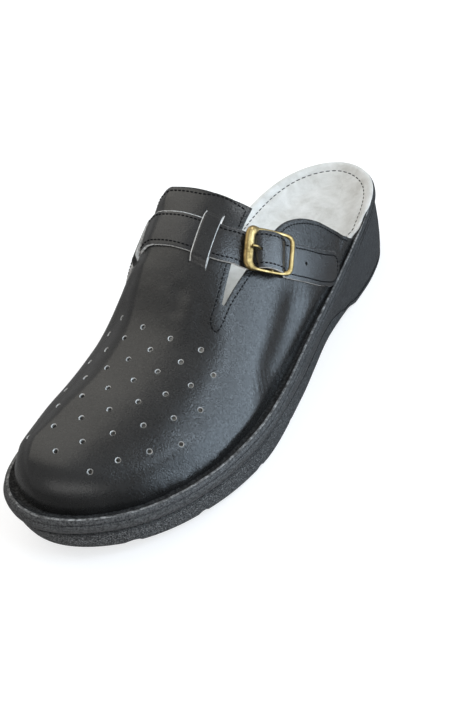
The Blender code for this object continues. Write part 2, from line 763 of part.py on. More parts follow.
def strap_point(line, across, lift):
    """Point of the strap a distance across (mm, rearwards positive) from its centre line."""
    station, angle = line[:, 0], line[:, 1]
    along, round_it = upper_slopes(station, angle)
    centre = upper_surface(station, angle)
    ahead = np.gradient(centre, axis=0)
    ahead /= np.linalg.norm(ahead, axis=1)[:, None]
    sideways = np.cross(upper_normal(station, angle), ahead)
    sideways /= np.linalg.norm(sideways, axis=1)[:, None]
    shift = np.zeros((len(line), 2))
    for i in range(len(line)):
        slopes = np.stack([along[i], round_it[i]], 1)
        shift[i] = np.linalg.lstsq(slopes, sideways[i] * across[i], rcond=None)[0]
    angle = np.clip(angle + shift[:, 1], *STRAP_LIMITS)
    return upper_surface(station + shift[:, 0], angle, line[:, 2] + lift)


def make_strap(collection, cutters):
    line = strap_line()
    left = (line[-1, 3] - line[:, 3]) / (STRAP_WIDTH / 2)
    round_tip = np.sqrt(np.clip(1 - np.clip(1 - left, 0.0, 1.0) ** 2, 0.0025, 1.0))
    work = bmesh.new()
    columns = []
    for share in STRAP_SHARES:
        points = strap_point(line, share * STRAP_WIDTH / 2 * round_tip, np.zeros(len(line)))
        columns.append([work.verts.new(point) for point in points])
    for near, far in zip(columns, columns[1:]):
        for i in range(len(line) - 1):
            work.faces.new((near[i], near[i + 1], far[i + 1], far[i]))
    mesh = bpy.data.meshes.new("strap")
    work.to_mesh(mesh)
    work.free()
    strap = link(mesh, "strap", collection)
    thick = strap.modifiers.new("thick", "SOLIDIFY")
    thick.thickness = STRAP_THICK * MM
    thick.offset = 1.0
    thick.use_even_offset = True
    for number, run in enumerate(STRAP_HOLES):
        spot = [np.interp(run, line[:, 3], line[:, k]) for k in range(3)]
        start, end = (upper_surface(spot[0], spot[1], spot[2] + far) for far in (-1.0, 3.0))
        cylinder(f"strap_hole_{number}", start, end, STRAP_HOLE, 12, cutters)
    origin, axes = buckle_axes()
    start, end, width = PRONG_SLOT
    centre = origin + axes[0] * (start + end) / 2 * MM + axes[2] * FRAME_HEIGHT * MM
    box("prong_slot", centre, axes, (end - start, width, BUCKLE_ACROSS), cutters)
    cut(strap, cutters)
    return strap


def buckle_axes():
    """Point of the upper under the buckle, with axes along the strap, across it and outwards."""
    path = np.array(STRAP_PATH)
    station, angle = path[STRAP_CENTRE, :2]
    origin = upper_surface(station, angle)
    outward = upper_normal(station, angle)
    ends = upper_surface(*path[list(STRAP_BULGE[:2]), :2].T)
    along = ends[1] - ends[0]
    along -= outward * np.dot(along, outward)
    along /= np.linalg.norm(along)
    return origin, (along, np.cross(outward, along), outward)


def swept(name, points, radii, closed, flat):
    """Mesh of a bar swept along points (mm, local), flattened in height."""
    curve = bpy.data.curves.new(name, "CURVE")
    curve.dimensions = "3D"
    curve.bevel_depth = 1.0
    curve.bevel_resolution = 2
    curve.use_fill_caps = True
    spline = curve.splines.new("POLY")
    spline.points.add(len(points) - 1)
    for spot, (x, y, z), radius in zip(spline.points, points, radii):
        spot.co = (x, y, z / flat, 1.0)
        spot.radius = radius
    spline.use_cyclic_u = closed
    holder = bpy.data.objects.new(name, curve)
    mesh = bpy.data.meshes.new_from_object(holder)
    bpy.data.objects.remove(holder)
    mesh.transform(Matrix.Diagonal((1.0, 1.0, flat, 1.0)))
    work = bmesh.new()
    work.from_mesh(mesh)
    bmesh.ops.remove_doubles(work, verts=work.verts, dist=1e-4)
    work.to_mesh(mesh)
    work.free()
    return mesh


def onto_shoe(mesh):
    """Moves a mesh from the buckle's own axes (mm) to the shoe (metres)."""
    origin, axes = buckle_axes()
    turn = Matrix([Vector(axis) for axis in axes]).transposed().to_4x4()
    lift = Vector(origin + axes[2] * FRAME_HEIGHT * MM)
    mesh.transform(Matrix.Translation(lift) @ turn @ Matrix.Scale(MM, 4))


def make_buckle(collection):
    turn = np.linspace(0.0, 2 * math.pi, 36, endpoint=False)
    x = BUCKLE_LENGTH / 2 * np.sign(np.cos(turn)) * np.abs(np.cos(turn)) ** (2 / BUCKLE_BOW)
    y = BUCKLE_ACROSS / 2 * np.sign(np.sin(turn)) * np.abs(np.sin(turn)) ** (2 / BUCKLE_CORNER)
    side = ease(*BAR_SWELL, np.abs(x) / (BUCKLE_LENGTH / 2))
    radii = SIDE_BAR + (np.where(x < 0, LEFT_BAR, RIGHT_BAR) - SIDE_BAR) * side
    frame = swept("buckle", np.stack([x, y, 0 * x], 1), radii, True, BAR_FLATNESS)
    half = BUCKLE_ACROSS / 2
    bar = swept("centre_bar", [(0, -half, 0), (0, half, 0)], [CENTRE_BAR / 2] * 2, False, 1.0)
    onto_shoe(frame)
    onto_shoe(bar)
    buckle = link(frame, "buckle", collection)
    return buckle, bar


def make_prong(collection):
    ring_radius = CENTRE_BAR / 2 + GAP + HOOK_WIRE / 2
    turn = np.radians(np.linspace(*HOOK_TURN, 9))
    hook = [(ring_radius * math.cos(a), 0.0, ring_radius * math.sin(a)) for a in turn]
    pin = [(along, 0.0, height) for along, height in PRONG_PATH]
    points = hook + pin
    mesh = swept("buckle_prong", points, [HOOK_WIRE / 2] * len(points), False, 1.0)
    onto_shoe(mesh)
    return link(mesh, "buckle_prong", collection)


def paint(obj):
    red, green, blue, rough, metal = MATERIALS[obj.name]
    material = bpy.data.materials.new(obj.name)
    material.use_nodes = True
    shader = material.node_tree.nodes["Principled BSDF"]
    shader.inputs["Base Color"].default_value = (red, green, blue, 1.0)
    shader.inputs["Roughness"].default_value = rough
    shader.inputs["Metallic"].default_value = metal
    obj.data.materials.clear()
    obj.data.materials.append(material)


def new_collection(name, parent):
    collection = bpy.data.collections.new(name)
    parent.children.link(collection)
    return collection


def main():
    for obj in list(bpy.data.objects):
        bpy.data.objects.remove(obj)
    root = bpy.context.scene.collection
    parts = new_collection("orthopaedic_clog", root)
    tools = new_collection("cutters", root)
    sets = {name: new_collection(f"{name}_cutters", tools) for name in ("sole", "upper", "strap", "buckle")}
    make_sole(parts, sets["sole"])
    make_insole(parts)
    make_upper(parts, sets["upper"])
    make_strap(parts, sets["strap"])
    buckle, bar = make_buckle(parts)
    joined = buckle.modifiers.new("join", "BOOLEAN")
    joined.operation = "UNION"
    joined.solver = "EXACT"
    joined.object = link(bar, "centre_bar", sets["buckle"])
    make_prong(parts)
    for obj in parts.objects:
        paint(obj)
    for obj in tools.all_objects:
        obj.hide_render = True
        obj.display_type = "WIRE"


main()
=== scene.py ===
"""Dressed orthopaedic clog for the left foot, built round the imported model.

The pieces follow the sizes and tables of the part, a few of them corrected against the photo, and stand at
its places, in metres: +Z is up, the toe points to -Y and the buckle side (lateral) to +X. Stations run from
the back of the heel to the toe.
"""

import json
import math

import bmesh
import bpy
import numpy as np
from mathutils import Matrix, Vector

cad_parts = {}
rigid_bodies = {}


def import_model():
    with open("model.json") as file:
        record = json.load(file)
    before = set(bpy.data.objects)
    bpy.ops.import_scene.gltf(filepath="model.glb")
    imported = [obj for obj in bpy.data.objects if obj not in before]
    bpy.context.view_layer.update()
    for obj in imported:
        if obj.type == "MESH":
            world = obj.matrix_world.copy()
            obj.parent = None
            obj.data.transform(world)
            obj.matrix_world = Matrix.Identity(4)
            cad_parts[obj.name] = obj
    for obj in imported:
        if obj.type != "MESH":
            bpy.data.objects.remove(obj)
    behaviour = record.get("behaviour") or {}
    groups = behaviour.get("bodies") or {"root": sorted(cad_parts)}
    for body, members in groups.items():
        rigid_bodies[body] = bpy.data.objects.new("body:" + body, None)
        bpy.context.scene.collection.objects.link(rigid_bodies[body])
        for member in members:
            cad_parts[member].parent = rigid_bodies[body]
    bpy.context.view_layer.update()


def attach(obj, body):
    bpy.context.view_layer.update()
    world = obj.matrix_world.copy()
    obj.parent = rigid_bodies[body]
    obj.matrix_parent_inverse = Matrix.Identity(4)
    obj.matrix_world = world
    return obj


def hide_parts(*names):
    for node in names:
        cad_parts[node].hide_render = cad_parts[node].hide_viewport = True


for startup in list(bpy.data.objects):
    bpy.data.objects.remove(startup)
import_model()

MM = 0.001
# Driving sizes, mm
LENGTH = 282.0
BALL_WIDTH = 103.5
INSTEP_HEIGHT = 104.0
HEEL_HEIGHT = 45.5
TOE_SPRING = 9.5
GAP = 0.3

# Material numbers on the faces of the sole and of the leather pieces
# The third sole number is the top of the bead, painted pale grey as a highlight
ROUGH, SMOOTH, BEAD_HIGHLIGHT, CREASE = range(4)
# The last leather number is the bore of the perforations, painted dark grey as shade
LEATHER, INSIDE, PALE, DYED, HOLE_SHADE = range(5)

# Sole, mm
ARCH_RISE = 4.0
WAIST_UNDERCUT = 2.5
SOLE_ROWS = 150
OUTLINE_POINTS = 1440
GROOVE_DROP = 7.7
HEEL_GROOVE_DROP = 6.2
GROOVE_EASE = (0.1, 0.4)
FLANGE_SWELL = 0.5
TOE_FLARE = 1.4
FLARE_STATIONS = (0.70, 0.95)
FLARE_HEADING = (0.6, -0.8)
BEAD_TOP = 1.1
BEAD_INNER = 1.9
BEAD_ROUND = 0.2
BEAD_SHARES = (0.72, 0.55, 0.35)
BEAD_DROPS = (0.05, 0.04)
LEDGE_DROP = 1.2
LEDGE_INSET = 3.4
LEDGE_START = (56.0, 67.0)
LEDGE_EASE = 10.0
FEATHER_INSET = 5.0
FEATHER_CLEAR = 0.5
HEEL_LIP = 1.5
TREAD_DEPTH = 2.0
TREAD_WIDTH = 6.0
TREAD_REACH = 0.7
GROOVE_SIDES = 48
RIB_PITCH = 2.6
RIB_GROOVE = 1.3
RIB_DEPTH = 1.0
RIB_COUNT = 13
RIB_TAPER = 0.55
RIB_POWER = 1.5
RIB_PATCH_WIDTH = 40.0
RIB_PATCH_STATION = 0.135

# Insole, mm
INSOLE_THICK = 3.0
INSOLE_DROP = 0.8
INSOLE_ROUND = 0.8
INSOLE_DEPTHS = (0.0, 1.2, 5.0, 10.0, 16.0)
INSOLE_BED = 0.5
ARCH_SUPPORT = 4.0
ARCH_STATION = 0.42
ARCH_SPREAD = 0.10

# Upper, mm
WALL = 1.6
TOE_POWER = 2.6
TOE_START = 258.0
WING_ROW = 73.5
QUARTER_ROW = 77.5
SLIT_ROWS = (144.5, 169.0)
TONGUE_ROW = 136.0
NOTCH_ROW = 175.5
STRAP_SINK = 0.027
SINK_ROWS = (144.0, 151.0, 167.5, 175.5)
SINK_ANGLES = (14.0, -8.0)
PERFORATION_BOW = 0.32
PERFORATION_MIDDLE = (2.3, 3.0)
HOLE_SIDES = 24
RIM_ANGLE = 89.0
ARC_STEPS = 357
SLOPE_LIMIT = 89.9
SLOPE_STEP = 0.02

# Strap and buckle, mm
STRAP_WIDTH = 17.0
STRAP_THICK = 1.4
STRAP_STEP = 1.4
STRAP_TIP_ROWS = 20
STRAP_TIP = 0.0025
STRAP_CLEAR = (1.0, 0.5)
STRAP_LIMITS = (-89.5, 89.0)
STRAP_SHARES = (-1.0, -0.93, -0.82, -0.65, -0.4, -0.15, 0.15, 0.4, 0.65, 0.82, 0.93, 0.955, 1.0)
STRAP_HOLE = 1.8
STRAP_HOLES = (26.0,)
STRAP_HOLE_ENDS = (-1.0, 3.0)
PRONG_SLOT = (-7.2, -5.7, 1.3)
FRAME_HEIGHT = 3.95
BUCKLE_LENGTH = 24.0
BUCKLE_ACROSS = 19.2
BUCKLE_BOW = 3.8
BUCKLE_CORNER = 7.0
BUCKLE_LEAN = 0.15
LEFT_BAR = 2.45
RIGHT_BAR = 1.22
SIDE_BAR = 0.8
BAR_SWELL = (0.55, 0.95)
BAR_FLATNESS = 0.68
CENTRE_BAR = 1.9
HOOK_WIRE = 1.3
HOOK_TURN = (-20.0, -165.0)
FRAME_STEPS = 160
HOOK_STEPS = 40
PRONG_STEPS = 30
BAR_FACETS = 8
WELD = 1e-4

# Sole sections: lateral and medial edge over the ball width, inset of the lateral feather line,
# inset of the wall below the groove, share of the waist undercut, depth of the insole's cup.
STATION, LATERAL, MEDIAL, FEATHER, WALL_IN, UNDERCUT, CUP = range(7)
SOLE_SECTIONS = (
    # station, lateral, medial, feather_mm, wall_mm, undercut, cup_mm
    (0.050, 0.242, -0.237, 2.4, -0.3, 0.0, 6.0),
    (0.160, 0.350, -0.333, 2.4, 0.6, 0.0, 6.0),
    (0.260, 0.395, -0.338, 2.4, 1.8, 0.6, 5.5),
    (0.390, 0.440, -0.338, 2.5, 2.8, 1.0, 4.5),
    (0.530, 0.476, -0.394, 3.2, 2.4, 0.3, 3.0),
    (0.670, 0.517, -0.469, 4.2, 2.2, 0.0, 2.2),
    (0.740, 0.508, -0.489, 4.6, 2.2, 0.0, 2.0),
    (0.820, 0.465, -0.482, 4.8, 2.2, 0.0, 2.0),
    (0.940, 0.279, -0.380, FEATHER_INSET, 1.6, 0.0, 2.0),
)
TOE_SIDE = -0.077

# Side wall of the sole: inset and shares of the sections' wall inset, waist undercut and toe flare,
# then how far its foot stands over the tread and its head over the groove.
WALL_PROFILE = (
    # inset_mm, wall, undercut, flare: at the edge of the tread, half way up, under the groove
    (1.0, 1.0, 1.0, 0.3),
    (0.0, 1.0, 0.7, 0.6),
    (0.8, 0.3, 0.0, 0.8),
)
WALL_FOOT = 1.6
WALL_HEAD = -1.8

# Height of the flange rim over the heel height.
RIM = (
    # station, height
    (0.000, 1.000),
    (0.177, 0.890),
    (0.390, 0.736),
    (0.603, 0.538),
    (0.745, 0.505),
    (0.887, 0.538),
    (1.000, 0.626),
)

# Height of the tread: heel bevel and toe spring over TOE_SPRING, arch over ARCH_RISE.
TREAD = (
    # station, spring, arch
    (0.000, 0.32, 0.00),
    (0.060, 0.00, 0.00),
    (0.245, 0.00, 0.00),
    (0.290, 0.00, 0.85),
    (0.370, 0.00, 1.00),
    (0.470, 0.00, 0.35),
    (0.540, 0.00, 0.00),
    (0.674, 0.00, 0.00),
    (0.851, 0.42, 0.00),
    (1.000, 1.00, 0.00),
)

# Tread grooves across the forefoot and the waist: station of each groove.
TREAD_GROOVES = (0.600, 0.715, 0.841, 0.938)

# Upper sections: ridge height over the instep height, ridge side shift over the ball width,
# fullness (superellipse power) of the medial and lateral walls.
UPPER_SECTIONS = (
    # station, ridge, shift, medial, lateral
    (0.177, 0.962, -0.116, 2.00, 2.20),
    (0.301, 1.000, -0.135, 2.00, 2.20),
    (0.418, 1.007, -0.139, 1.99, 2.20),
    (0.479, 0.990, -0.126, 1.90, 2.20),
    (0.532, 0.940, -0.114, 1.75, 2.20),
    (0.585, 0.858, -0.101, 1.66, 2.20),
    (0.638, 0.745, -0.090, 1.57, 2.20),
    (0.709, 0.603, -0.073, 1.58, 2.20),
    (0.780, 0.540, -0.087, 1.58, 2.17),
    (0.851, 0.502, -0.133, 1.60, 2.15),
    (0.915, 0.469, -0.174, 1.60, 2.14),
)

# Edges that cross the rows: top line of the medial quarter, of the flap and of the lateral wing.
QUARTER_EDGE = (
    # station_mm, angle
    (80.0, -90.0),
    (92.0, -78.0),
    (105.0, -67.0),
    (118.0, -57.0),
    (130.0, -48.0),
    (140.0, -40.0),
)
HEM_EDGE = (
    # station_mm, angle
    (80.0, -89.9),
    (92.0, -86.5),
)
FLAP_EDGE = (
    # station_mm, angle
    (130.0, 37.8),
    (150.7, 38.7),
    (175.5, 40.4),
)
WING_EDGE = (
    # station_mm, angle
    (66.0, 90.0),
    (71.9, 85.9),
    (88.3, 72.2),
    (100.1, 61.8),
    (111.4, 54.8),
    (122.0, 51.1),
    (141.3, 48.8),
    (153.9, 46.9),
    (165.6, 44.1),
    (175.5, 41.5),
)

# Columns of the upper round the foot, medial to lateral: where each strip starts, how far its rows
# lean back, how many strips follow up to the next column, the first row of those strips and how far
# a loop band stands up.
UPPER_COLUMNS = (
    # angle or edge, lean_mm, strips, first_row, lift_mm
    (-90.0, 4.0, 2, QUARTER_ROW, 0.0),
    (HEM_EDGE, 4.0, 24, QUARTER_ROW, 0.0),
    (QUARTER_EDGE, 4.0, 12, TONGUE_ROW, 0.0),
    (-26.0, 4.0, 1, SLIT_ROWS[1], 0.0),
    (-25.7, 4.0, 1, TONGUE_ROW, 1.95),
    (-25.1, 4.0, 6, TONGUE_ROW, 2.2),
    (-16.9, 4.0, 1, TONGUE_ROW, 2.2),
    (-16.3, 4.0, 1, SLIT_ROWS[1], 1.95),
    (-16.0, 4.0, 14, TONGUE_ROW, 0.0),
    (2.0, 2.0, 15, TONGUE_ROW, 0.0),
    (20.9, -1.0, 1, SLIT_ROWS[1], 0.0),
    (21.2, -1.2, 1, TONGUE_ROW, 1.95),
    (21.7, -1.3, 6, TONGUE_ROW, 2.2),
    (28.85, -2.95, 1, TONGUE_ROW, 2.2),
    (29.1, -3.0, 1, SLIT_ROWS[1], 1.95),
    (29.4, -3.0, 8, TONGUE_ROW, 0.0),
    (FLAP_EDGE, -6.0, 2, NOTCH_ROW, 0.0),
    (WING_EDGE, -6.0, 40, WING_ROW, 0.0),
    (90.0, -6.0, 0, 0.0, 0.0),
)
BAND_RISE = (
    # row_mm, share of the lift
    (SLIT_ROWS[0], 0.0),
    (145.4, 0.01),
    (146.2, 0.08),
    (146.9, 0.24),
    (147.6, 0.50),
    (148.3, 0.76),
    (149.0, 0.92),
    (149.8, 0.99),
    (150.6, 1.0),
    (164.4, 1.0),
    (165.2, 0.99),
    (165.9, 0.92),
    (166.5, 0.76),
    (167.1, 0.50),
    (167.7, 0.25),
    (168.2, 0.09),
    (168.6, 0.01),
    (SLIT_ROWS[1], 0.0),
)

# Perforations: station and arc of the middle of each row, distance between its half places, its
# first half place and its number of holes.
PERFORATION_ROWS = (
    # station_mm, arc_mm, pitch_mm, first_place, holes
    (196.7, 14.3, 7.5, 0, 4),
    (204.1, 15.2, 7.7, -1, 5),
    (211.8, 16.0, 7.9, 0, 4),
    (219.6, 16.9, 8.0, -1, 5),
    (227.7, 17.7, 8.2, 0, 4),
    (236.1, 18.6, 8.4, -1, 5),
    (244.6, 19.4, 8.5, 0, 4),
    (253.4, 20.3, 8.7, 1, 3),
    (262.4, 21.1, 8.9, 2, 3),
)

# Centre line of the strap over the upper, from its sewn medial end to its tip.
STRAP_PATH = (
    # station_mm, angle, lift_mm
    (161.5, -64.0, 0.3),
    (160.4, -45.0, 0.35),
    (159.4, -29.5, 0.3),
    (159.3, -26.8, 0.2),
    (159.1, -21.0, -1.1),
    (159.1, -15.2, 0.2),
    (158.8, -12.5, 0.3),
    (158.3, 5.0, 0.35),
    (157.5, 18.5, 0.3),
    (157.3, 20.4, 0.2),
    (156.6, 25.1, -1.1),
    (155.5, 29.9, 0.2),
    (155.1, 31.6, 0.3),
    (151.4, 39.6, 0.3),
    (149.6, 43.8, 0.3),
    (148.4, 45.0, 2.1),
    (146.8, 46.7, 4.2),
    (145.0, 48.6, 5.15),
    (142.6, 51.2, 5.45),
    (140.2, 53.8, 5.15),
    (138.4, 55.7, 4.2),
    (136.8, 57.4, 1.9),
    (135.6, 58.5, 0.3),
    (130.0, 63.2, 0.3),
    (122.0, 69.1, 0.3),
    (114.2, 74.9, 0.3),
    (104.0, 81.4, 0.3),
    (95.0, 86.4, 0.3),
)
STRAP_CENTRE = 18
STRAP_BULGE = (14, 22, 49)

# Prong of the buckle, from its hook round the centre bar to its tip on the left bar.
PRONG_PATH = (
    # along_mm, height_mm
    (-4.6, 0.0),
    (-6.6, 0.8),
    (-8.6, 2.2),
    (-10.2, 2.85),
    (-12.2, 2.75),
)

# Fineness and rounding of the dressed pieces, mm
SHARP_ANGLE = 38.0
ROW_STEP = 1.25
TOE_ROWS = 30
EDGE_ROUND = 0.3
BAND_PALE = 0.15
STRAP_CROWN = 0.25
STRAP_ROUND = 0.35
STRAP_WORN = 20.0
STITCH_SIDES = 10
STITCH_RINGS = 9
STITCH_BLUNT = 3.0
STITCH_END = 0.25

# Top of the rough tread layer on the side of the sole.
WEDGE_LINE = (
    # station_mm, height_mm
    (70.0, 2.0),
    (80.0, 3.6),
    (92.0, 9.5),
    (106.0, 13.0),
    (120.0, 14.0),
    (135.0, 12.5),
    (150.0, 11.8),
    (168.0, 13.0),
    (190.0, 14.3),
    (210.0, 15.5),
    (282.0, 22.0),
)
LOWER_WALL = (0.0, 0.25, 0.5, 0.75, 0.94, 1.0)
WEDGE_SEAM = 0.5
BEAD_ROWS = (1, 2)
SEAM_SHARE = 0.015
WEDGE_LIMITS = (0.05, 0.93)
UPPER_WALL = (
    # share of the wall above the seam, shift_mm
    (0.0, 0.2),
    (0.08, 0.0),
    (0.3, 0.0),
    (0.55, 0.0),
    (0.8, 0.0),
    (1.0, 0.0),
)
FOOT_PROFILE = (
    # inset_mm, wall, undercut, flare, level, rise_mm
    (22.0, 0.0, 0.0, 0.0, "tread", 0.0),
    (12.0, 0.3, 0.3, 0.0, "tread", 0.0),
    (3.8, 1.0, 1.0, 0.0, "tread", 0.0),
    (2.3, 1.0, 1.0, 0.1, "tread", 0.25),
    (1.4, 1.0, 1.0, 0.2, "tread", 0.8),
)
SIDE_PROFILE = (
    # inset_mm, wall, undercut, flare, level, rise_mm
    (1.3, 0.15, 0.0, 0.8, "groove", -1.72),
    (2.1, 0.0, 0.0, 0.8, "groove", -1.45),
    (2.7, 0.0, 0.0, 0.8, "groove", -1.05),
    (2.6, 0.0, 0.0, 0.8, "groove", -0.55),
    (1.9, 0.0, 0.0, 0.9, "groove", -0.2),
    (0.9, 0.0, 0.0, 1.0, "groove", -0.05),
    (0.35, 0.0, 0.0, 1.0, "groove", 0.25),
    (-0.2, 0.0, 0.0, 1.0, "groove", 1.4),
    (-FLANGE_SWELL, 0.0, 0.0, 1.0, "flange", -0.6),
    (-FLANGE_SWELL, 0.0, 0.0, 1.0, "flange", 0.4),
    (-0.42, 0.0, 0.0, 0.7, "rim", -2.9),
    (0.05, 0.0, 0.0, 0.65, "rim", -2.65),
    (0.05, 0.0, 0.0, 0.6, "rim", -2.45),
    (-0.4, 0.0, 0.0, 0.5, "rim", -2.2),
    (-0.42, 0.0, 0.0, 0.4, "rim", -1.6),
    (-0.25, 0.0, 0.0, 0.3, "rim", -0.95),
    (0.05, 0.0, 0.0, 0.1, "rim", -0.5),
    (0.4, 0.0, 0.0, 0.0, "rim", -0.2),
)

# Insole: depth of its rows in from the edge, and how far each is pressed down by the stitches.
INSOLE_SEAM = 4.0
INSOLE_DIP = 0.35
INSOLE_ROWS = (
    # depth_mm, dip_mm
    (0.0, 0.0),
    (0.3, 0.0),
    (0.7, 0.0),
    (1.2, 0.0),
    (2.0, 0.0),
    (2.7, 0.04),
    (3.3, 0.20),
    (INSOLE_SEAM, INSOLE_DIP),
    (4.7, 0.20),
    (5.5, 0.04),
    (8.0, 0.0),
    (12.0, 0.0),
    (16.0, 0.0),
)
INSOLE_BRIM = (
    # inset_mm round the open heel, rise_mm over the rim there, drop_mm under the upper
    (1.8, 0.08, 2.4),
    (0.7, 0.08, 1.9),
    (0.5, 0.28, 1.4),
    (0.75, 0.48, 1.0),
)
BRIM_FADES = ((18.0, 12.0), (7.0, 8.0))
BRIM_LIFT = 1.25
BRIM_REACH = 4.5
SEAM_END = 150.0

# Grain shows more on the outer side: from and to this side (m), with these strengths.
GRAIN_SIDES = (0.0, 0.028)
GRAIN_STRENGTH = (0.3, 1.0)
GRAIN_COAT = ((0.34, 0.08), (0.56, 0.78))
STRAP_COAT = ((0.34, 0.45), (0.60, 1.0))
TOE_RAMP_ENDS = (-0.11, 0.07)
TOE_RAMP_SHIFT = 0.13
NOISE_SPAN = (0.3, 0.7)
SPECKLE_SPAN = (0.33, 0.67)

# Creases of the upper, placed one by one: height (ridges rise, troughs fall), half width and line.
CREASE_STEPS = 40
CREASE_TAPER = 0.3
CREASES = (
    # height_mm, width_mm, ((station_mm, angle), ...)
    (-2.3, 9.5, ((124.0, 72.5), (136.0, 73.8), (150.0, 76.0), (160.0, 77.5), (170.0, 78.2), (192.0, 77.5))),
    (-1.1, 3.6, ((92.0, 87.0), (112.0, 87.3), (140.0, 87.6), (170.0, 87.8), (200.0, 88.0), (226.0, 88.0))),
    (0.5, 2.6, ((184.0, 84.0), (193.0, 82.6), (208.0, 82.1), (223.0, 80.7), (236.0, 78.5))),
    (-0.5, 4.0, ((205.0, 78.0), (222.0, 76.0), (240.0, 73.0), (254.0, 68.0))),
    (0.5, 5.0, ((210.0, 68.0), (228.0, 66.0), (246.0, 62.0), (258.0, 55.0))),
    (-0.45, 3.5, ((240.0, -72.0), (252.0, -66.0), (262.0, -55.0), (268.0, -40.0))),
    (-0.4, 4.0, ((176.0, 18.0), (182.0, 20.5), (190.0, 22.5))),
    (-0.35, 3.5, ((176.0, 31.0), (184.0, 32.5), (192.0, 35.0))),
    (0.35, 6.0, ((178.0, 25.0), (190.0, 26.0), (200.0, 28.0))),
    (-0.5, 3.0, ((74.0, 82.5), (82.0, 80.0), (90.0, 79.5))),
    (0.35, 2.2, ((72.0, 84.5), (80.0, 83.5), (88.0, 84.0))),
    (-0.4, 5.0, ((186.0, -8.0), (192.0, -20.0), (200.0, -34.0))),
)
PUCKER = 0.16
PUCKER_SHARES = (0.86, 0.97)
PUCKER_STATIONS = (190.0, 225.0)
PUCKER_WAVES = (
    # axis, length_mm, phase, weight
    (0, 5.3, 0.4, 0.6),
    (1, 4.1, 1.9, 0.5),
    (0, 9.7, 2.6, 0.5),
    (1, 7.9, 4.2, 0.5),
)
SWELLS = (
    # axis, length_mm, phase, weight
    (0, 37.0, 0.7, 0.10),
    (1, 29.0, 2.1, 0.10),
    (2, 17.0, 1.3, 0.08),
    (1, 53.0, 4.4, 0.14),
)
CALM_STATIONS = (172.0, 190.0)

# Perforations: a bore through the wall, painted dark grey as shade, that widens to a worn rim.
PERFORATION_FORM = (
    # height_mm, diameter_mm, material of the band above
    (-4.0, 1.9, HOLE_SHADE),
    (-0.4, 1.9, PALE),
    (0.0, 2.5, PALE),
    (0.6, 3.4, PALE),
)

# Seams: pitch, length and thickness of a stitch and how deep its middle lies.
SEAM_STITCH = (2.1, 1.6, 0.68, -0.05)
INSOLE_STITCH = (3.6, 2.7, 0.65, 0.0)
STRAP_SEAM = 2.0
STRAP_SEAM_SINK = 0.1
SEAM_STEPS = 90
UPPER_SEAMS = (
    # (station_mm, angle) along each seam: tongue top, tongue side and round the notch, wing edge.
    ((142.3, -36.0), (142.2, -26.0), (142.0, -10.0), (140.2, 2.0), (138.6, 15.0), (135.0, 25.0),
     (133.5, 35.4)),
    ((133.5, 36.0), (145.0, 36.6), (160.0, 37.2), (174.0, 37.6), (183.0, 37.4), (186.0, 39.8),
     (186.0, 41.3), (183.0, 43.0), (175.5, 43.9), (165.6, 46.4), (153.9, 49.0), (141.3, 50.8),
     (122.0, 53.2), (111.4, 57.0), (100.1, 64.0), (88.3, 74.4), (76.0, 85.0)),
)

# Studio: each light's azimuth, elevation, distance (m), size (m), power (W) and colour.
LIGHT_AIM = (0.02, -0.02, 0.04)
LIGHTS = (
    # name, azimuth, elevation, distance, size, power, colour
    ("side_softbox", 90.0, 45.0, 1.3, (0.6, 0.5), 6.5, (0.70, 0.85, 1.0)),
    ("top_softbox", -95.0, 60.0, 1.3, (1.3, 1.0), 5.2, (1.0, 0.96, 0.87)),
    ("front_fill", 5.0, 24.0, 1.3, (1.2, 0.5), 2.6, (1.0, 0.99, 0.97)),
    ("rear_spot", 150.0, 45.0, 1.2, (0.25, 0.25), 1.5, (0.90, 0.95, 1.0)),
)
SKY = (
    # rise (sine of the elevation), level
    (-1.0, 0.18),
    (-0.05, 0.20),
    (0.10, 0.50),
    (0.80, 0.50),
    (1.0, 0.75),
)
WINDOW_AIM = (108.0, 0.0)
WINDOW_EDGE = (0.80, 0.87)
WINDOW_LEVEL = 5.0
WINDOW_COLOUR = (0.68, 0.84, 1.0)
FLOOR_SIZE = 6.0
BACKDROP_SIZE = 5.5
FLOOR_SHADE = (0.45, 0.45, 0.45)
FLOOR_GLOW = 0.65

# Camera: azimuth, elevation and roll, the place it looks at (station, side, height) and its lens.
CAMERA_TURN = (39.212, 35.357, -13.797)
CAMERA_TARGET = (176.426, 25.276, 40.0)
CAMERA_DISTANCE = 442.111
CAMERA_LENS = 49.28


def smooth(table, index, at):
    """Monotone cubic through one column of a table, held level beyond its ends."""
    rows = np.array([[row[0], row[index]] for row in table])
    known, value = rows[:, 0], rows[:, 1]
    step = np.diff(known)
    rise = np.diff(value) / step
    slope = np.zeros(len(known))
    same = rise[:-1] * rise[1:] > 0
    first = np.where(same, rise[:-1], 1.0)
    second = np.where(same, rise[1:], 1.0)
    before = 2 * step[1:] + step[:-1]
    after = step[1:] + 2 * step[:-1]
    slope[1:-1] = np.where(same, (before + after) / (before / first + after / second), 0.0)
    slope[0], slope[-1] = rise[0], rise[-1]
    at = np.clip(np.asarray(at, float), known[0], known[-1])
    i = np.clip(np.searchsorted(known, at) - 1, 0, len(step) - 1)
    t = (at - known[i]) / step[i]
    start = value[i] * (1 + 2 * t) * (1 - t) ** 2 + step[i] * slope[i] * t * (1 - t) ** 2
    return start + value[i + 1] * t * t * (3 - 2 * t) + step[i] * slope[i + 1] * t * t * (t - 1)


def ease(low, high, at):
    """Rises from 0 to 1 between two values."""
    t = np.clip((np.asarray(at, float) - low) / (high - low), 0.0, 1.0)
    return t * t * (3 - 2 * t)


def mix(first, second, share):
    return first * (1 - share) + second * share


def unit(vectors):
    return vectors / np.linalg.norm(vectors, axis=-1, keepdims=True)


def run_along(points):
    """Distance of each point of a line from its first."""
    return np.concatenate([[0.0], np.cumsum(np.linalg.norm(np.diff(points, axis=0), axis=1))])


def at_run(where, run, values):
    """First three columns of values at a distance along their line."""
    return np.array([np.interp(where, run, values[:, k]) for k in range(3)])


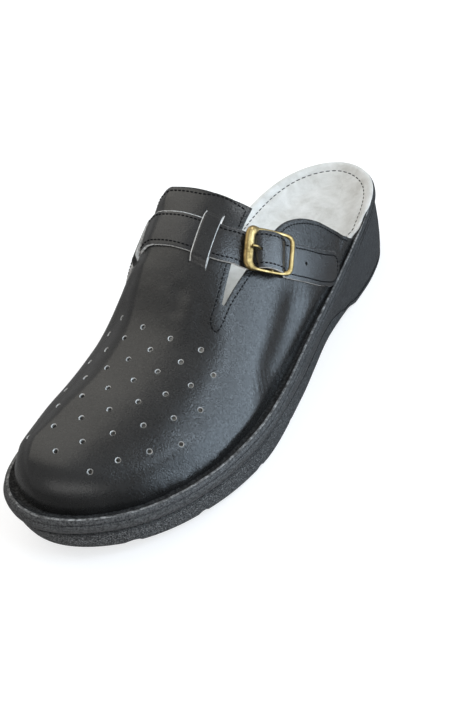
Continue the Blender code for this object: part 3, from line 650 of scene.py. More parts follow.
def closed_curve(points, count):
    """Smooth closed line through the points."""
    points = np.array(points, float)
    number = len(points)
    step = np.linalg.norm(np.roll(points, -1, 0) - points, axis=1) ** 0.5
    system = np.zeros((number, number))
    right = np.zeros((number, 2))
    for i in range(number):
        j = (i + 1) % number
        system[i, i - 1] += step[i - 1]
        system[i, i] += 2 * (step[i - 1] + step[i])
        system[i, j] += step[i]
        right[i] = 6 * ((points[j] - points[i]) / step[i] - (points[i] - points[i - 1]) / step[i - 1])
    bend = np.linalg.solve(system, right)
    knots = np.concatenate([[0.0], np.cumsum(step)])
    at = np.linspace(0.0, knots[-1], count, endpoint=False)
    i = np.clip(np.searchsorted(knots, at, side="right") - 1, 0, number - 1)
    j = (i + 1) % number
    h = step[i][:, None]
    u = (at - knots[i])[:, None]
    v = h - u
    cubic = (bend[i] * v**3 + bend[j] * u**3) / (6 * h)
    return cubic + (points[i] / h - bend[i] * h / 6) * v + (points[j] / h - bend[j] * h / 6) * u


def sole_outline():
    """Outline of the flange as (station, side) in mm, with its outward normals."""
    lateral, medial = (
        [(row[STATION] * LENGTH, row[edge] * BALL_WIDTH) for row in SOLE_SECTIONS]
        for edge in (LATERAL, MEDIAL)
    )
    toe = (LENGTH, TOE_SIDE * BALL_WIDTH)
    line = closed_curve([(0.0, 0.0), *lateral, toe, *medial[::-1]], OUTLINE_POINTS)
    along = np.roll(line, -1, 0) - np.roll(line, 1, 0)
    return line, unit(np.stack([-along[:, 1], along[:, 0]], 1))


OUTLINE, OUTWARD = sole_outline()


def split_sides(line):
    """Lateral and medial halves of a closed line, each from heel to toe."""
    heel, toe = line[:, 0].argmin(), line[:, 0].argmax()
    around = np.roll(line, -heel, 0)
    turn = (toe - heel) % len(line)
    return around[: turn + 1], np.vstack([around[turn:], around[:1]])[::-1]


def rim(station):
    return HEEL_HEIGHT * smooth(RIM, 1, station / LENGTH)


def tread(station):
    share = station / LENGTH
    return TOE_SPRING * smooth(TREAD, 1, share) + ARCH_RISE * smooth(TREAD, 2, share)


def ring_base():
    """Matching lateral and medial places round the outline: point, normal and side of each."""
    shares = (1 - np.cos(np.linspace(0.0, math.pi, SOLE_ROWS + 1))) / 2
    lateral, medial = split_sides(np.hstack([OUTLINE, OUTWARD]))
    rows = []
    for half in (lateral, medial):
        station = half[0, 0] + shares * (half[-1, 0] - half[0, 0])
        rows.append(np.stack([np.interp(station, half[:, 0], half[:, k]) for k in range(4)], 1))
    around = np.vstack([rows[0], rows[1][-2:0:-1]])
    side = np.array([1.0] * (SOLE_ROWS + 1) + [-1.0] * (SOLE_ROWS - 1))
    return around[:, :2], unit(around[:, 2:]), side


RING_POINT, RING_NORMAL, RING_SIDE = ring_base()


def toe_flare():
    """How far the flange stands out round the medial side of the toe."""
    facing = np.clip(RING_NORMAL @ FLARE_HEADING, 0.0, 1.0)
    return TOE_FLARE * facing * ease(*FLARE_STATIONS, RING_POINT[:, 0] / LENGTH)


WIDEST = RING_POINT + (FLANGE_SWELL + toe_flare())[:, None] * RING_NORMAL
STATION_MIDDLE, SIDE_MIDDLE = (WIDEST.max(axis=0) + WIDEST.min(axis=0)) / 2


def place(station, side, height):
    """Point or points in the part's frame, metres."""
    points = np.broadcast_arrays(side - SIDE_MIDDLE, STATION_MIDDLE - station, height)
    return np.stack(points, -1) * MM


def ring(inset, height):
    """Closed row of points, moved in from the outline, at a height given by its stations."""
    moved = RING_POINT - np.broadcast_to(inset, len(RING_POINT))[:, None] * RING_NORMAL
    return place(moved[:, 0], moved[:, 1], height(np.clip(moved[:, 0], 0.0, LENGTH)))


def feather_inset(station, side):
    """Inset of the feather line, where the upper meets the ledge of the sole."""
    return np.where(side > 0, smooth(SOLE_SECTIONS, FEATHER, station / LENGTH), FEATHER_INSET)


RING_FEATHER = feather_inset(RING_POINT[:, 0], RING_SIDE)


def open_heel(lead, reach):
    """Share that is 1 round the open heel and eases to 0 from a lead (mm) ahead of the upper's rear end."""
    start = np.where(RING_SIDE > 0, *LEDGE_START)
    return 1 - ease(-lead, reach - lead, RING_POINT[:, 0] - start)


def under_upper():
    """Share by which each place of the ring lies under the upper; the heel is open."""
    return 1 - open_heel(0.0, LEDGE_EASE)


def recess_inset():
    """Inset of the recess for the insole: a thin lip round the open heel, a ledge under the upper."""
    return HEEL_LIP + (RING_FEATHER + WALL + GAP - HEEL_LIP) * under_upper()


def insole_top(depth):
    """Height function of the insole's top, a given distance in from its edge."""
    share = RING_POINT[:, 0] / LENGTH
    arch = ARCH_SUPPORT * np.exp(-(((share - ARCH_STATION) / ARCH_SPREAD) ** 2)) * (RING_SIDE < 0)
    drop = INSOLE_DROP + (smooth(SOLE_SECTIONS, CUP, share) - arch) * ease(0.0, INSOLE_DEPTHS[-1], depth)
    return lambda station: rim(station) - drop


def lowered(height, drop):
    return lambda station: height(station) - drop


def groove(station):
    """Height of the upper edge of the groove that runs round the sole."""
    drop = HEEL_GROOVE_DROP + (GROOVE_DROP - HEEL_GROOVE_DROP) * ease(*GROOVE_EASE, station / LENGTH)
    return rim(station) - drop


SOLE_LEVELS = {
    "tread": tread,
    "groove": groove,
    "flange": lambda station: (groove(station) + rim(station)) / 2,
    "rim": rim,
}


def feather_lines():
    """Lateral and medial feather lines, each from heel to toe."""
    side = np.where(np.arange(len(OUTLINE)) <= OUTLINE[:, 0].argmax(), 1.0, -1.0)
    inset = feather_inset(OUTLINE[:, 0], side)
    return split_sides(OUTLINE - inset[:, None] * OUTWARD)


FEATHER_LATERAL, FEATHER_MEDIAL = feather_lines()
TOE_TIP, TOE_TIP_SIDE = FEATHER_LATERAL[-1]
FEATHER_DROP = LEDGE_DROP - GAP


def upper_surface(station, angle, lift=0.0):
    """Outer face of the upper at a station (mm) and an angle round the foot, -90 medial to 90 lateral.

    Each section is a pair of superellipse quarters from the ridge down to the feather line.
    """
    station, angle, lift = np.broadcast_arrays(*(np.asarray(v, float) for v in (station, angle, lift)))
    inner = np.minimum(station, TOE_START)
    share = inner / LENGTH
    dome = np.clip((station - TOE_START) / (TOE_TIP - TOE_START), 0.0, 1.0)
    base = rim(station) - FEATHER_DROP
    last = UPPER_SECTIONS[-1], UPPER_SECTIONS[-2]
    fall = (last[0][1] - last[1][1]) / (last[0][0] - last[1][0]) * INSTEP_HEIGHT / LENGTH
    ridge = INSTEP_HEIGHT * smooth(UPPER_SECTIONS, 1, share) + fall * (station - inner)
    ridge = base + (ridge - base) * (1 - dome**TOE_POWER) ** (1 / TOE_POWER)
    lateral = np.interp(station, *FEATHER_LATERAL.T)
    medial = np.interp(station, *FEATHER_MEDIAL.T)
    full = np.interp(TOE_START, *FEATHER_LATERAL.T) - np.interp(TOE_START, *FEATHER_MEDIAL.T)
    narrow = np.where(station > TOE_START, np.clip((lateral - medial) / full, 0.0, 1.0), 1.0)
    middle = TOE_TIP_SIDE + (BALL_WIDTH * smooth(UPPER_SECTIONS, 2, share) - TOE_TIP_SIDE) * narrow
    power = np.where(angle >= 0, smooth(UPPER_SECTIONS, 4, share), smooth(UPPER_SECTIONS, 3, share))
    up = np.abs(np.cos(np.radians(angle)))
    out = np.abs(np.sin(np.radians(angle)))
    pressed = ease(*SINK_ROWS[:2], station) * (1 - ease(*SINK_ROWS[2:], station))
    pressed = pressed * ease(*SINK_ANGLES, angle)
    reach = (up**power + out**power) ** (-1 / power) * (1 - STRAP_SINK * pressed)
    half = np.where(angle >= 0, lateral - middle, medial - middle)
    point = place(station, middle + half * reach * out, base + (ridge - base) * reach * up)
    if np.any(lift):
        point = point + upper_normal(station, angle) * lift[..., None] * MM
    return point


def upper_slopes(station, angle):
    """Change of the outer face per mm along the foot and per degree round it, in mm."""
    angle = np.clip(angle, -SLOPE_LIMIT, SLOPE_LIMIT)
    ahead = np.minimum(station + SLOPE_STEP, TOE_TIP)
    along = upper_surface(ahead, angle) - upper_surface(station - SLOPE_STEP, angle)
    round_it = upper_surface(station, angle + SLOPE_STEP) - upper_surface(station, angle - SLOPE_STEP)
    return along / (2 * SLOPE_STEP * MM), round_it / (2 * SLOPE_STEP * MM)


def upper_normal(station, angle):
    along, round_it = upper_slopes(station, angle)
    return -unit(np.cross(round_it, along))


def column_angle(angle, station):
    return smooth(angle, 1, station) if isinstance(angle, tuple) else np.full_like(station, angle)


def leather_rows(rows, first_row):
    """Rows of a strip that are leather; a strip below a slit also runs across the top of the tongue."""
    present = rows >= first_row
    if first_row == SLIT_ROWS[1]:
        present |= (rows >= TONGUE_ROW) & (rows < SLIT_ROWS[0])
    return present


def angle_at_arc(station, arc):
    """Angle round the foot of a place an arc length (mm) from the ridge, lateral positive."""
    angle = np.linspace(-RIM_ANGLE, RIM_ANGLE, ARC_STEPS)
    length = run_along(upper_surface(np.full_like(angle, station), angle) / MM)
    return float(np.interp(arc, length - np.interp(0.0, angle, length), angle))


def strap_line():
    """Centre line of the strap: station, angle, lift and run (mm from the buckle's centre bar)."""
    path = np.array(STRAP_PATH)
    run = run_along(upper_surface(path[:, 0], path[:, 1]) / MM)
    run -= run[STRAP_CENTRE]
    at = np.linspace(run[0], run[-1], int((run[-1] - run[0]) / STRAP_STEP))
    first, last, count = STRAP_BULGE
    near = np.linspace(run[first], run[last], count)
    clear, tip_clear = STRAP_CLEAR
    at = np.concatenate([at[at < near[0] - clear], near, at[at > near[-1] + clear]])
    tip = at[-1] - STRAP_WIDTH / 2 * (1 - np.cos(np.linspace(0.0, math.pi / 2, STRAP_TIP_ROWS)))
    at = np.concatenate([at[at < tip[-1] - tip_clear], tip[::-1]])
    return np.stack([smooth(list(zip(run, path[:, k])), 1, at) for k in range(3)] + [at], 1)


def strap_point(line, across, lift):
    """Point of the strap a distance across (mm, rearwards positive) from its centre line."""
    station, angle = line[:, 0], line[:, 1]
    along, round_it = upper_slopes(station, angle)
    ahead = unit(np.gradient(upper_surface(station, angle), axis=0))
    sideways = unit(np.cross(upper_normal(station, angle), ahead))
    shift = np.zeros((len(line), 2))
    for i in range(len(line)):
        slopes = np.stack([along[i], round_it[i]], 1)
        shift[i] = np.linalg.lstsq(slopes, sideways[i] * across[i], rcond=None)[0]
    angle = np.clip(angle + shift[:, 1], *STRAP_LIMITS)
    return upper_surface(station + shift[:, 0], angle, line[:, 2] + lift)


def buckle_axes():
    """Point of the upper under the buckle, with axes along the strap, across it and outwards."""
    path = np.array(STRAP_PATH)
    station, angle = path[STRAP_CENTRE, :2]
    outward = upper_normal(station, angle)
    ends = upper_surface(*path[list(STRAP_BULGE[:2]), :2].T)
    along = ends[1] - ends[0]
    along = unit(along - outward * np.dot(along, outward))
    return upper_surface(station, angle), (along, np.cross(outward, along), outward)


def swept(name, points, radii, closed, flat):
    """Mesh of a bar swept along points (mm, local), flattened in height."""
    curve = bpy.data.curves.new(name, "CURVE")
    curve.dimensions = "3D"
    curve.bevel_depth = 1.0
    curve.bevel_resolution = BAR_FACETS
    curve.use_fill_caps = True
    spline = curve.splines.new("POLY")
    spline.points.add(len(points) - 1)
    for spot, (x, y, z), radius in zip(spline.points, points, radii):
        spot.co = (x, y, z / flat, 1.0)
        spot.radius = radius
    spline.use_cyclic_u = closed
    holder = bpy.data.objects.new(name, curve)
    mesh = bpy.data.meshes.new_from_object(holder)
    bpy.data.objects.remove(holder)
    mesh.transform(Matrix.Diagonal((1.0, 1.0, flat, 1.0)))
    work = bmesh.new()
    work.from_mesh(mesh)
    bmesh.ops.remove_doubles(work, verts=work.verts, dist=WELD)
    work.to_mesh(mesh)
    work.free()
    return mesh


def onto_shoe(mesh):
    """Moves a mesh from the buckle's own axes (mm) to the shoe (metres)."""
    origin, axes = buckle_axes()
    turn = Matrix([Vector(axis) for axis in axes]).transposed().to_4x4()
    lift = Vector(origin + axes[2] * FRAME_HEIGHT * MM)
    mesh.transform(Matrix.Translation(lift) @ turn @ Matrix.Scale(MM, 4))


# Meshes and pieces


def closed_loft(work, rings, bands):
    """Adds a body through closed rows of points; each band between rows has a material number."""
    count = len(rings[0])
    rows = [[work.verts.new(point) for point in row] for row in rings]
    for lower, upper, band in zip(rows, rows[1:], bands):
        for i in range(count):
            j = (i + 1) % count
            work.faces.new((lower[i], lower[j], upper[j], upper[i])).material_index = band
    for row, band in ((rows[0], bands[0]), (rows[-1], bands[-1])):
        for i in range(count // 2):
            corners = (row[i], row[i + 1], row[(count - i - 1) % count], row[(count - i) % count])
            work.faces.new(list(dict.fromkeys(corners))).material_index = band
    bmesh.ops.recalc_face_normals(work, faces=work.faces)


def add_piece(name, mesh, materials, node=None):
    """Puts a mesh in the scene as a piece that rides on the shoe."""
    for material in materials[len(mesh.materials):]:
        mesh.materials.append(material)
    mesh.shade_smooth()
    mesh.set_sharp_from_angle(angle=math.radians(SHARP_ANGLE))
    obj = bpy.data.objects.new(name, mesh)
    bpy.context.scene.collection.objects.link(obj)
    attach(obj, "root")
    if node:
        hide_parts(node)
    return obj


def mesh_of(work, name):
    mesh = bpy.data.meshes.new(name)
    work.to_mesh(mesh)
    work.free()
    return mesh


def carved(mesh, work, materials, operation="DIFFERENCE"):
    """Mesh less (or joined with) the bodies in a second bmesh; faces keep their material numbers."""
    tool_mesh = mesh_of(work, "tool")
    for side in (mesh, tool_mesh):
        for material in materials:
            side.materials.append(material)
    base, tool = bpy.data.objects.new("base", mesh), bpy.data.objects.new("tool", tool_mesh)
    for obj in (base, tool):
        bpy.context.scene.collection.objects.link(obj)
    modifier = base.modifiers.new("carve", "BOOLEAN")
    modifier.operation = operation
    modifier.solver = "MANIFOLD"
    modifier.object = tool
    result = bpy.data.meshes.new_from_object(base.evaluated_get(bpy.context.evaluated_depsgraph_get()))
    for obj in (base, tool):
        bpy.data.objects.remove(obj)
    return result


def add_turned(work, start, outward, rows, sides):
    """Adds a round body along an axis: rows of height and diameter (mm) and material of the band above."""
    across = unit(np.cross(outward, (1.0, 0.0, 0.0)))
    beside = np.cross(outward, across)
    turn = np.linspace(0.0, 2 * math.pi, sides, endpoint=False)
    spokes = np.outer(np.cos(turn), across) + np.outer(np.sin(turn), beside)
    rings = [
        [work.verts.new(start + (outward * height + spoke * diameter / 2) * MM) for spoke in spokes]
        for height, diameter, _ in rows
    ]
    work.faces.new(rings[0][::-1])
    work.faces.new(rings[-1])
    for lower, upper, (_, _, band) in zip(rings, rings[1:], rows):
        for i in range(sides):
            j = (i + 1) % sides
            work.faces.new((lower[i], lower[j], upper[j], upper[i])).material_index = band


def mark_faces(verts, band):
    for face in {face for vert in verts for face in vert.link_faces}:
        face.material_index = band


def add_cylinder(work, start, end, diameter, sides, band=0):
    """Adds a round bar between two points in metres."""
    axis = Vector(end) - Vector(start)
    turn = axis.to_track_quat("Z", "Y").to_matrix().to_4x4()
    where = Matrix.Translation((Vector(start) + Vector(end)) / 2) @ turn
    radius = diameter / 2 * MM
    bar = bmesh.ops.create_cone(
        work, cap_ends=True, segments=sides, radius1=radius, radius2=radius, depth=axis.length, matrix=where
    )
    mark_faces(bar["verts"], band)


def add_box(work, centre, axes, size, band=0):
    """Adds a block with its edges along the given axes; centre in metres, size in mm."""
    turn = Matrix([Vector(axis) for axis in axes]).transposed().to_4x4()
    scale = Matrix.Diagonal((*(side * MM for side in size), 1.0))
    where = Matrix.Translation(Vector(centre)) @ turn @ scale
    mark_faces(bmesh.ops.create_cube(work, size=1.0, matrix=where)["verts"], band)


# Materials


def fill_ramp(ramp, stops):
    """Sets a colour ramp: each stop is a place and red, green, blue."""
    while len(ramp.elements) < len(stops):
        ramp.elements.new(1.0)
    for mark, (where, *colour) in zip(ramp.elements, stops):
        mark.position = where
        mark.color = (*colour, 1.0)


def add_node(tree, kind, **inputs):
    """Adds a node; each input is a value or a socket to link."""
    node = tree.nodes.new(kind)
    for name, value in inputs.items():
        target = node.inputs[name.replace("_", " ")]
        if isinstance(value, bpy.types.NodeSocket):
            tree.links.new(value, target)
        else:
            target.default_value = value
    return node


class Paint:
    """Node material with a short way to add textures."""

    def __init__(self, name, **sockets):
        self.material = bpy.data.materials.new(name)
        self.material.use_nodes = True
        self.tree = self.material.node_tree
        self.shader = self.tree.nodes["Principled BSDF"]
        self.coords = self.tree.nodes.new("ShaderNodeTexCoord").outputs["Object"]
        self.normal = None
        for socket, value in sockets.items():
            self.shader.inputs[socket.replace("_", " ")].default_value = value

    def noise(self, size_mm, detail=4.0, roughness=0.55, distortion=0.0):
        """Soft random pattern with features of a size in mm."""
        node = add_node(
            self.tree, "ShaderNodeTexNoise", Vector=self.coords, Scale=1 / (size_mm * MM), Detail=detail,
            Roughness=roughness, Distortion=distortion,
        )
        return node.outputs["Fac"]

    def cells(self, size_mm):
        """Pebbled pattern with cells of a size in mm."""
        node = add_node(self.tree, "ShaderNodeTexVoronoi", Vector=self.coords, Scale=1 / (size_mm * MM))
        return node.outputs["Distance"]

    def place(self, axis):
        """Distance (m) from the shoe's middle: X towards the buckle side, Y towards the heel."""
        return add_node(self.tree, "ShaderNodeSeparateXYZ", Vector=self.coords).outputs[axis]

    def ramp(self, value, low, high, start, end):
        """Value moved from one range to another, held at the ends."""
        node = add_node(
            self.tree, "ShaderNodeMapRange", Value=value, From_Min=low, From_Max=high, To_Min=start,
            To_Max=end,
        )
        return node.outputs["Result"]

    def lighter_to_toe(self, value, low, high):
        """Value spread from 0 to 1, higher towards the toe."""
        ends = [self.ramp(self.place("Y"), *TOE_RAMP_ENDS, edge - TOE_RAMP_SHIFT, edge) for edge in (low, high)]
        return self.ramp(value, *ends, 0.0, 1.0)

    def colours(self, value, stops):
        """Colours along a value: each stop is a place and red, green, blue."""
        node = add_node(self.tree, "ShaderNodeValToRGB", Fac=value)
        fill_ramp(node.color_ramp, stops)
        return node.outputs["Color"]

    def bump(self, height, depth_mm, strength=1.0):
        """Lays relief of a depth over what is there."""
        depth = depth_mm * MM
        node = add_node(self.tree, "ShaderNodeBump", Height=height, Distance=depth, Strength=strength)
        if self.normal:
            self.tree.links.new(self.normal, node.inputs["Normal"])
        self.normal = node.outputs["Normal"]

    def done(self, colour, roughness, coat=None):
        links = {"Base Color": colour, "Roughness": roughness, "Coat Weight": coat}
        links.update({"Normal": self.normal, "Coat Normal": self.normal})
        for socket, value in links.items():
            if value:
                self.tree.links.new(value, self.shader.inputs[socket])
        return self.material


def shaded(shade, *stops):
    """Stops of a colour ramp: each a place and a factor of one shade."""
    return [(where, *(channel * factor for channel in shade)) for where, factor in stops]


def leather(name, shade, gloss, coat):
    """Black full-grain leather: fine pebbled grain, soft wrinkles, uneven sheen."""
    paint = Paint(name, Specular_IOR_Level=0.2, Coat_Roughness=0.27)
    worn = paint.ramp(paint.place("X"), *GRAIN_SIDES, *GRAIN_STRENGTH)
    paint.bump(paint.noise(9.0, 1.0), 0.12)
    paint.bump(paint.noise(1.4, 3.0, 0.5, 0.6), 0.08, worn)
    paint.bump(paint.noise(0.75, 2.0, 0.5), 0.14, worn)
    colour = paint.colours(paint.noise(26.0, 5.0, 0.6), shaded(shade, (0.32, 0.7), (0.7, 1.35)))
    shine = paint.ramp(paint.noise(3.0, 6.0, 0.6), *NOISE_SPAN, gloss - 0.05, gloss + 0.08)
    least, most = (paint.ramp(paint.place("X"), *GRAIN_SIDES, *ends) for ends in coat)
    return paint.done(colour, shine, paint.ramp(paint.noise(0.6, 2.0, 0.5), *SPECKLE_SPAN, least, most))


def plain(name, bumps, tone, stops, shine, rough, toe_ramp=None, **sockets):
    """Material from noise patterns: size (mm), detail, roughness and distortion of each.

    Bumps are a depth (mm) and a pattern, where a lone size stands for cells. The tone pattern picks the
    colour from the stops, lighter towards the toe if asked, and the shine pattern the roughness.
    """
    paint = Paint(name, **sockets)
    for depth, *pattern in bumps:
        paint.bump(paint.noise(*pattern) if len(pattern) > 1 else paint.cells(*pattern), depth)
    value = paint.noise(*tone)
    colour = paint.colours(paint.lighter_to_toe(value, *toe_ramp) if toe_ramp else value, stops)
    return paint.done(colour, paint.ramp(paint.noise(*shine), *NOISE_SPAN, *rough))


def thread(name, shade):
    """Twisted waxed thread."""
    stops = shaded(shade, (0.35, 0.6), (0.7, 1.5))
    return plain(name, [(0.06, 0.25, 3.0)], (0.6,), stops, (0.8,), (0.75, 0.95), Specular_IOR_Level=0.15)


# Sole


def edge_inset(inset, wall, undercut, flare):
    """Inset of a row round the sole, with its shares of wall inset, waist undercut and toe flare."""
    at = RING_POINT[:, 0] / LENGTH
    waist = WAIST_UNDERCUT * smooth(SOLE_SECTIONS, UNDERCUT, at)
    return inset + wall * smooth(SOLE_SECTIONS, WALL_IN, at) + undercut * waist - flare * toe_flare()


def wall_row(share, shift=0.0):
    """Row of points up the side wall: share 0 at the tread's edge, 1 under the groove."""
    t = np.broadcast_to(share, len(RING_POINT))
    foot, belly, brow = (edge_inset(*row) for row in WALL_PROFILE)
    inset = foot * (1 - t) * (1 - 2 * t) + belly * 4 * t * (1 - t) + brow * t * (2 * t - 1)
    return ring(inset + shift, lambda at: mix(tread(at) + WALL_FOOT, groove(at) + WALL_HEAD, t))


def wedge_share():
    """Share of the side wall that the rough tread layer covers."""
    station = np.clip(RING_POINT[:, 0], 0.0, LENGTH)
    foot = tread(station) + WALL_FOOT
    head = groove(station) + WALL_HEAD
    return np.clip((smooth(WEDGE_LINE, 1, station) - foot) / (head - foot), *WEDGE_LIMITS)


def level_rows(table):
    """Rows of points from a profile table."""
    return [ring(edge_inset(*shares), lowered(SOLE_LEVELS[level], -rise)) for *shares, level, rise in table]


def top_rows():
    """Rows over the bead, the ledge under the upper and the recess for the insole."""
    under = under_upper()
    recess = recess_inset()
    lip = HEEL_LIP - GAP + (np.minimum(LEDGE_INSET, RING_FEATHER - FEATHER_CLEAR) - HEEL_LIP + GAP) * under
    ledge_drop = BEAD_ROUND + LEDGE_DROP * under
    floor = INSOLE_THICK + INSOLE_BED
    inner = np.minimum(BEAD_INNER, lip - GAP)
    top = np.minimum(BEAD_TOP, lip / 2)
    outer_share, inner_share, ledge_share = BEAD_SHARES
    outer_drop, inner_drop = BEAD_DROPS
    beds = [depth for depth in INSOLE_DEPTHS if depth > INSOLE_DEPTHS[1]]
    return [
        ring(mix(SIDE_PROFILE[-1][0], top, outer_share), lowered(rim, outer_drop)),
        ring(top, rim),
        ring(mix(top, inner, inner_share), lowered(rim, inner_drop)),
        ring(inner, lowered(rim, BEAD_ROUND)),
        ring(mix(inner, lip, ledge_share), lowered(rim, mix(BEAD_ROUND, ledge_drop, 0.5))),
        ring(lip, lowered(rim, ledge_drop)),
        ring(recess, lowered(rim, ledge_drop)),
        ring(recess, lowered(insole_top(0.0), floor)),
        *(ring(recess + GAP + depth, lowered(insole_top(depth), floor)) for depth in beds),
    ]


def tread_tool():
    """Grooves across the tread and ribs under the heel, as bodies to cut away."""
    tool = bmesh.new()
    radius = (TREAD_WIDTH**2 / 4 + TREAD_DEPTH**2) / (2 * TREAD_DEPTH)
    reach = TREAD_REACH * BALL_WIDTH
    for share in TREAD_GROOVES:
        height = tread(share * LENGTH) + TREAD_DEPTH - radius
        start, end = (place(share * LENGTH, side, height) for side in (-reach, reach))
        add_cylinder(tool, start, end, 2 * radius, GROOVE_SIDES)
    middle = (RIB_COUNT - 1) / 2
    for number in range(RIB_COUNT):
        width = RIB_PATCH_WIDTH * (1 - RIB_TAPER * abs(number / middle - 1) ** RIB_POWER)
        centre = place(RIB_PATCH_STATION * LENGTH + (number - middle) * RIB_PITCH, 0.0, 0.0)
        add_box(tool, centre, np.eye(3), (width, RIB_GROOVE, 2 * RIB_DEPTH))
    return tool


def make_sole():
    wedge = wedge_share()
    start = wedge + SEAM_SHARE * 2
    foot, sides, top = level_rows(FOOT_PROFILE), level_rows(SIDE_PROFILE), top_rows()
    lower = [wall_row(wedge * part) for part in LOWER_WALL]
    seam = [wall_row(wedge, WEDGE_SEAM), wall_row(wedge + SEAM_SHARE, WEDGE_SEAM)]
    upper = [wall_row(start + (1 - wedge - SEAM_SHARE * 2) * part, shift) for part, shift in UPPER_WALL]
    bands = [ROUGH] * len(foot + lower) + [SMOOTH] * (len(seam + upper + sides) - BEAD_ROWS[0])
    # The top of the bead is painted pale grey as a highlight
    bands += [BEAD_HIGHLIGHT] * sum(BEAD_ROWS) + [CREASE] * (len(top) - BEAD_ROWS[1])
    work = bmesh.new()
    closed_loft(work, foot + lower + seam + upper + sides + top, bands)
    mesh = mesh_of(work, "sole_body")
    materials = [ROUGH_RUBBER, SMOOTH_RUBBER, BEAD_HIGHLIGHT_RUBBER, CREASE_RUBBER]
    return add_piece("sole_body", carved(mesh, tread_tool(), materials), materials, "sole")


# Insole


def make_insole():
    """Insole with a brim that covers the lip of the sole round the open heel."""
    edge = recess_inset() + GAP
    reach, heel = (open_heel(*fade) for fade in BRIM_FADES)
    surface = insole_top(0.0)
    under = [ring(edge + depth, lowered(insole_top(depth), INSOLE_THICK)) for depth, _ in INSOLE_ROWS]
    brim = [
        ring(
            edge + (inset - edge) * reach,
            lambda station: (rim(station) + rise) * heel + (surface(station) - drop) * (1 - heel),
        )
        for inset, rise, drop in INSOLE_BRIM
    ]
    over = []
    for depth, dip in INSOLE_ROWS:
        rounded = INSOLE_ROUND * max(0.0, 1 - depth / INSOLE_DEPTHS[1]) ** 2 * (1 - heel)
        lift = BRIM_LIFT * ease(0.0, BRIM_REACH, BRIM_REACH - depth) * heel
        over.append(ring(edge + depth, lowered(insole_top(depth), rounded + dip - lift)))
    rows = under[::-1] + brim + over
    work = bmesh.new()
    closed_loft(work, rows, [0] * len(rows))
    return add_piece("insole_cover", mesh_of(work, "insole_cover"), [SUEDE], "insole")


def insole_seam():
    """Line and normals of the stitches inside the edge of the insole, round its open heel."""
    inset = recess_inset() + GAP + INSOLE_SEAM
    line = ring(inset, lowered(insole_top(INSOLE_SEAM), INSOLE_DIP))
    line = np.roll(line, len(line) // 2, axis=0)
    line = line[(STATION_MIDDLE - line[:, 1] / MM) < SEAM_END]
    return line, np.tile((0.0, 0.0, 1.0), (len(line), 1))


# Upper


def fine_rows():
    """Rows of the upper, mm from the heel, with those where edges and slits turn."""
    turns = {WING_ROW, QUARTER_ROW, TONGUE_ROW, NOTCH_ROW, TOE_START}
    marks = sorted(turns | {row for row, _ in BAND_RISE})
    rows = []
    for start, end in zip(marks, marks[1:]):
        steps = math.ceil((end - start) / ROW_STEP)
        rows.extend(start + (end - start) * np.arange(steps) / steps)
    turn = np.linspace(0.0, math.pi / 2, TOE_ROWS + 1)[:-1]
    toe = TOE_START + (TOE_TIP - TOE_START) * np.sin(turn) ** (2 / TOE_POWER)
    return np.concatenate([rows, toe])


def fine_grid(rows):
    """Station, angle and lift of each place, with the leather rows and the pale edge of each strip."""
    fade = 1 - np.clip((rows - TONGUE_ROW) / (NOTCH_ROW - TONGUE_ROW), 0.0, 1.0)
    rise = smooth(BAND_RISE, 1, rows)
    columns, strips, edges = [], [], []
    for (edge, lean, count, first_row, lift), after in zip(UPPER_COLUMNS, UPPER_COLUMNS[1:]):
        next_edge, next_lean, _, _, next_lift = after
        banded = lift > 0 and next_lift > 0
        for piece in range(count):
            part = piece / count
            station = rows + (lean + (next_lean - lean) * part) * fade
            start, end = column_angle(edge, station), column_angle(next_edge, station)
            raised = rise * (lift if piece == 0 or banded else 0.0)
            columns.append((station, start + (end - start) * part, raised))
            strips.append(leather_rows(rows, first_row))
            edges.append(banded and lift != next_lift)
    columns.append((rows + next_lean * fade, np.full_like(rows, next_edge), 0 * rows))
    return np.array(columns), strips, edges


def spread_line(points, count):
    """Smooth line through a few places (station, angle) on the upper, as even places."""
    points = np.array(points, float)
    run = run_along(points)
    at = np.linspace(0.0, run[-1], count)
    return np.stack([smooth(list(zip(run, points[:, k])), 1, at) for k in range(2)], 1)


def waves(points, table):
    """Sum of waves over points in metres, from a table of axis, length (mm), phase and weight."""
    return sum(
        np.sin(2 * math.pi * points[..., axis] / MM / length + phase) * weight
        for axis, length, phase, weight in table
    )


def relief(station, angle, points):
    """Height (mm) that wear and lasting give each place of the upper: troughs, ridges and puckers."""
    flat = points.reshape(-1, 3) / MM
    total = np.zeros(len(flat))
    for height, width, line in CREASES:
        places = spread_line(line, CREASE_STEPS)
        marks = upper_surface(places[:, 0], places[:, 1]) / MM
        nearest = np.full(len(flat), np.inf)
        share = np.zeros(len(flat))
        for number, mark in enumerate(marks):
            away = ((flat - mark) ** 2).sum(axis=1)
            closer = away < nearest
            nearest[closer] = away[closer]
            share[closer] = number / (CREASE_STEPS - 1)
        taper = ease(0.0, CREASE_TAPER, share) * ease(0.0, CREASE_TAPER, 1 - share)
        total += height * taper * np.exp(-nearest / width**2)
    total = total.reshape(np.shape(station))
    near_feather = ease(*PUCKER_SHARES, np.abs(angle) / 90.0) * ease(*PUCKER_STATIONS, station)
    calm = ease(*CALM_STATIONS, station)
    return total + PUCKER * near_feather * waves(points, PUCKER_WAVES) + waves(points, SWELLS) * calm


def shell_corners(work, grid):
    """Gives a function that makes or finds the vertex of a face (0 outer, 1 inner), column and row."""
    station, angle, lift = grid[:, 0], grid[:, 1], grid[:, 2]
    base = upper_surface(station, angle)
    normal = upper_normal(station, angle)
    outer = base + normal * ((lift + relief(station, angle, base)) * MM)[..., None]
    faces = (outer, outer - normal * WALL * MM)
    made = {}

    def corner(face, column, row):
        if (face, column, row) not in made:
            made[face, column, row] = work.verts.new(faces[face][column, row])
        return made[face, column, row]

    return corner


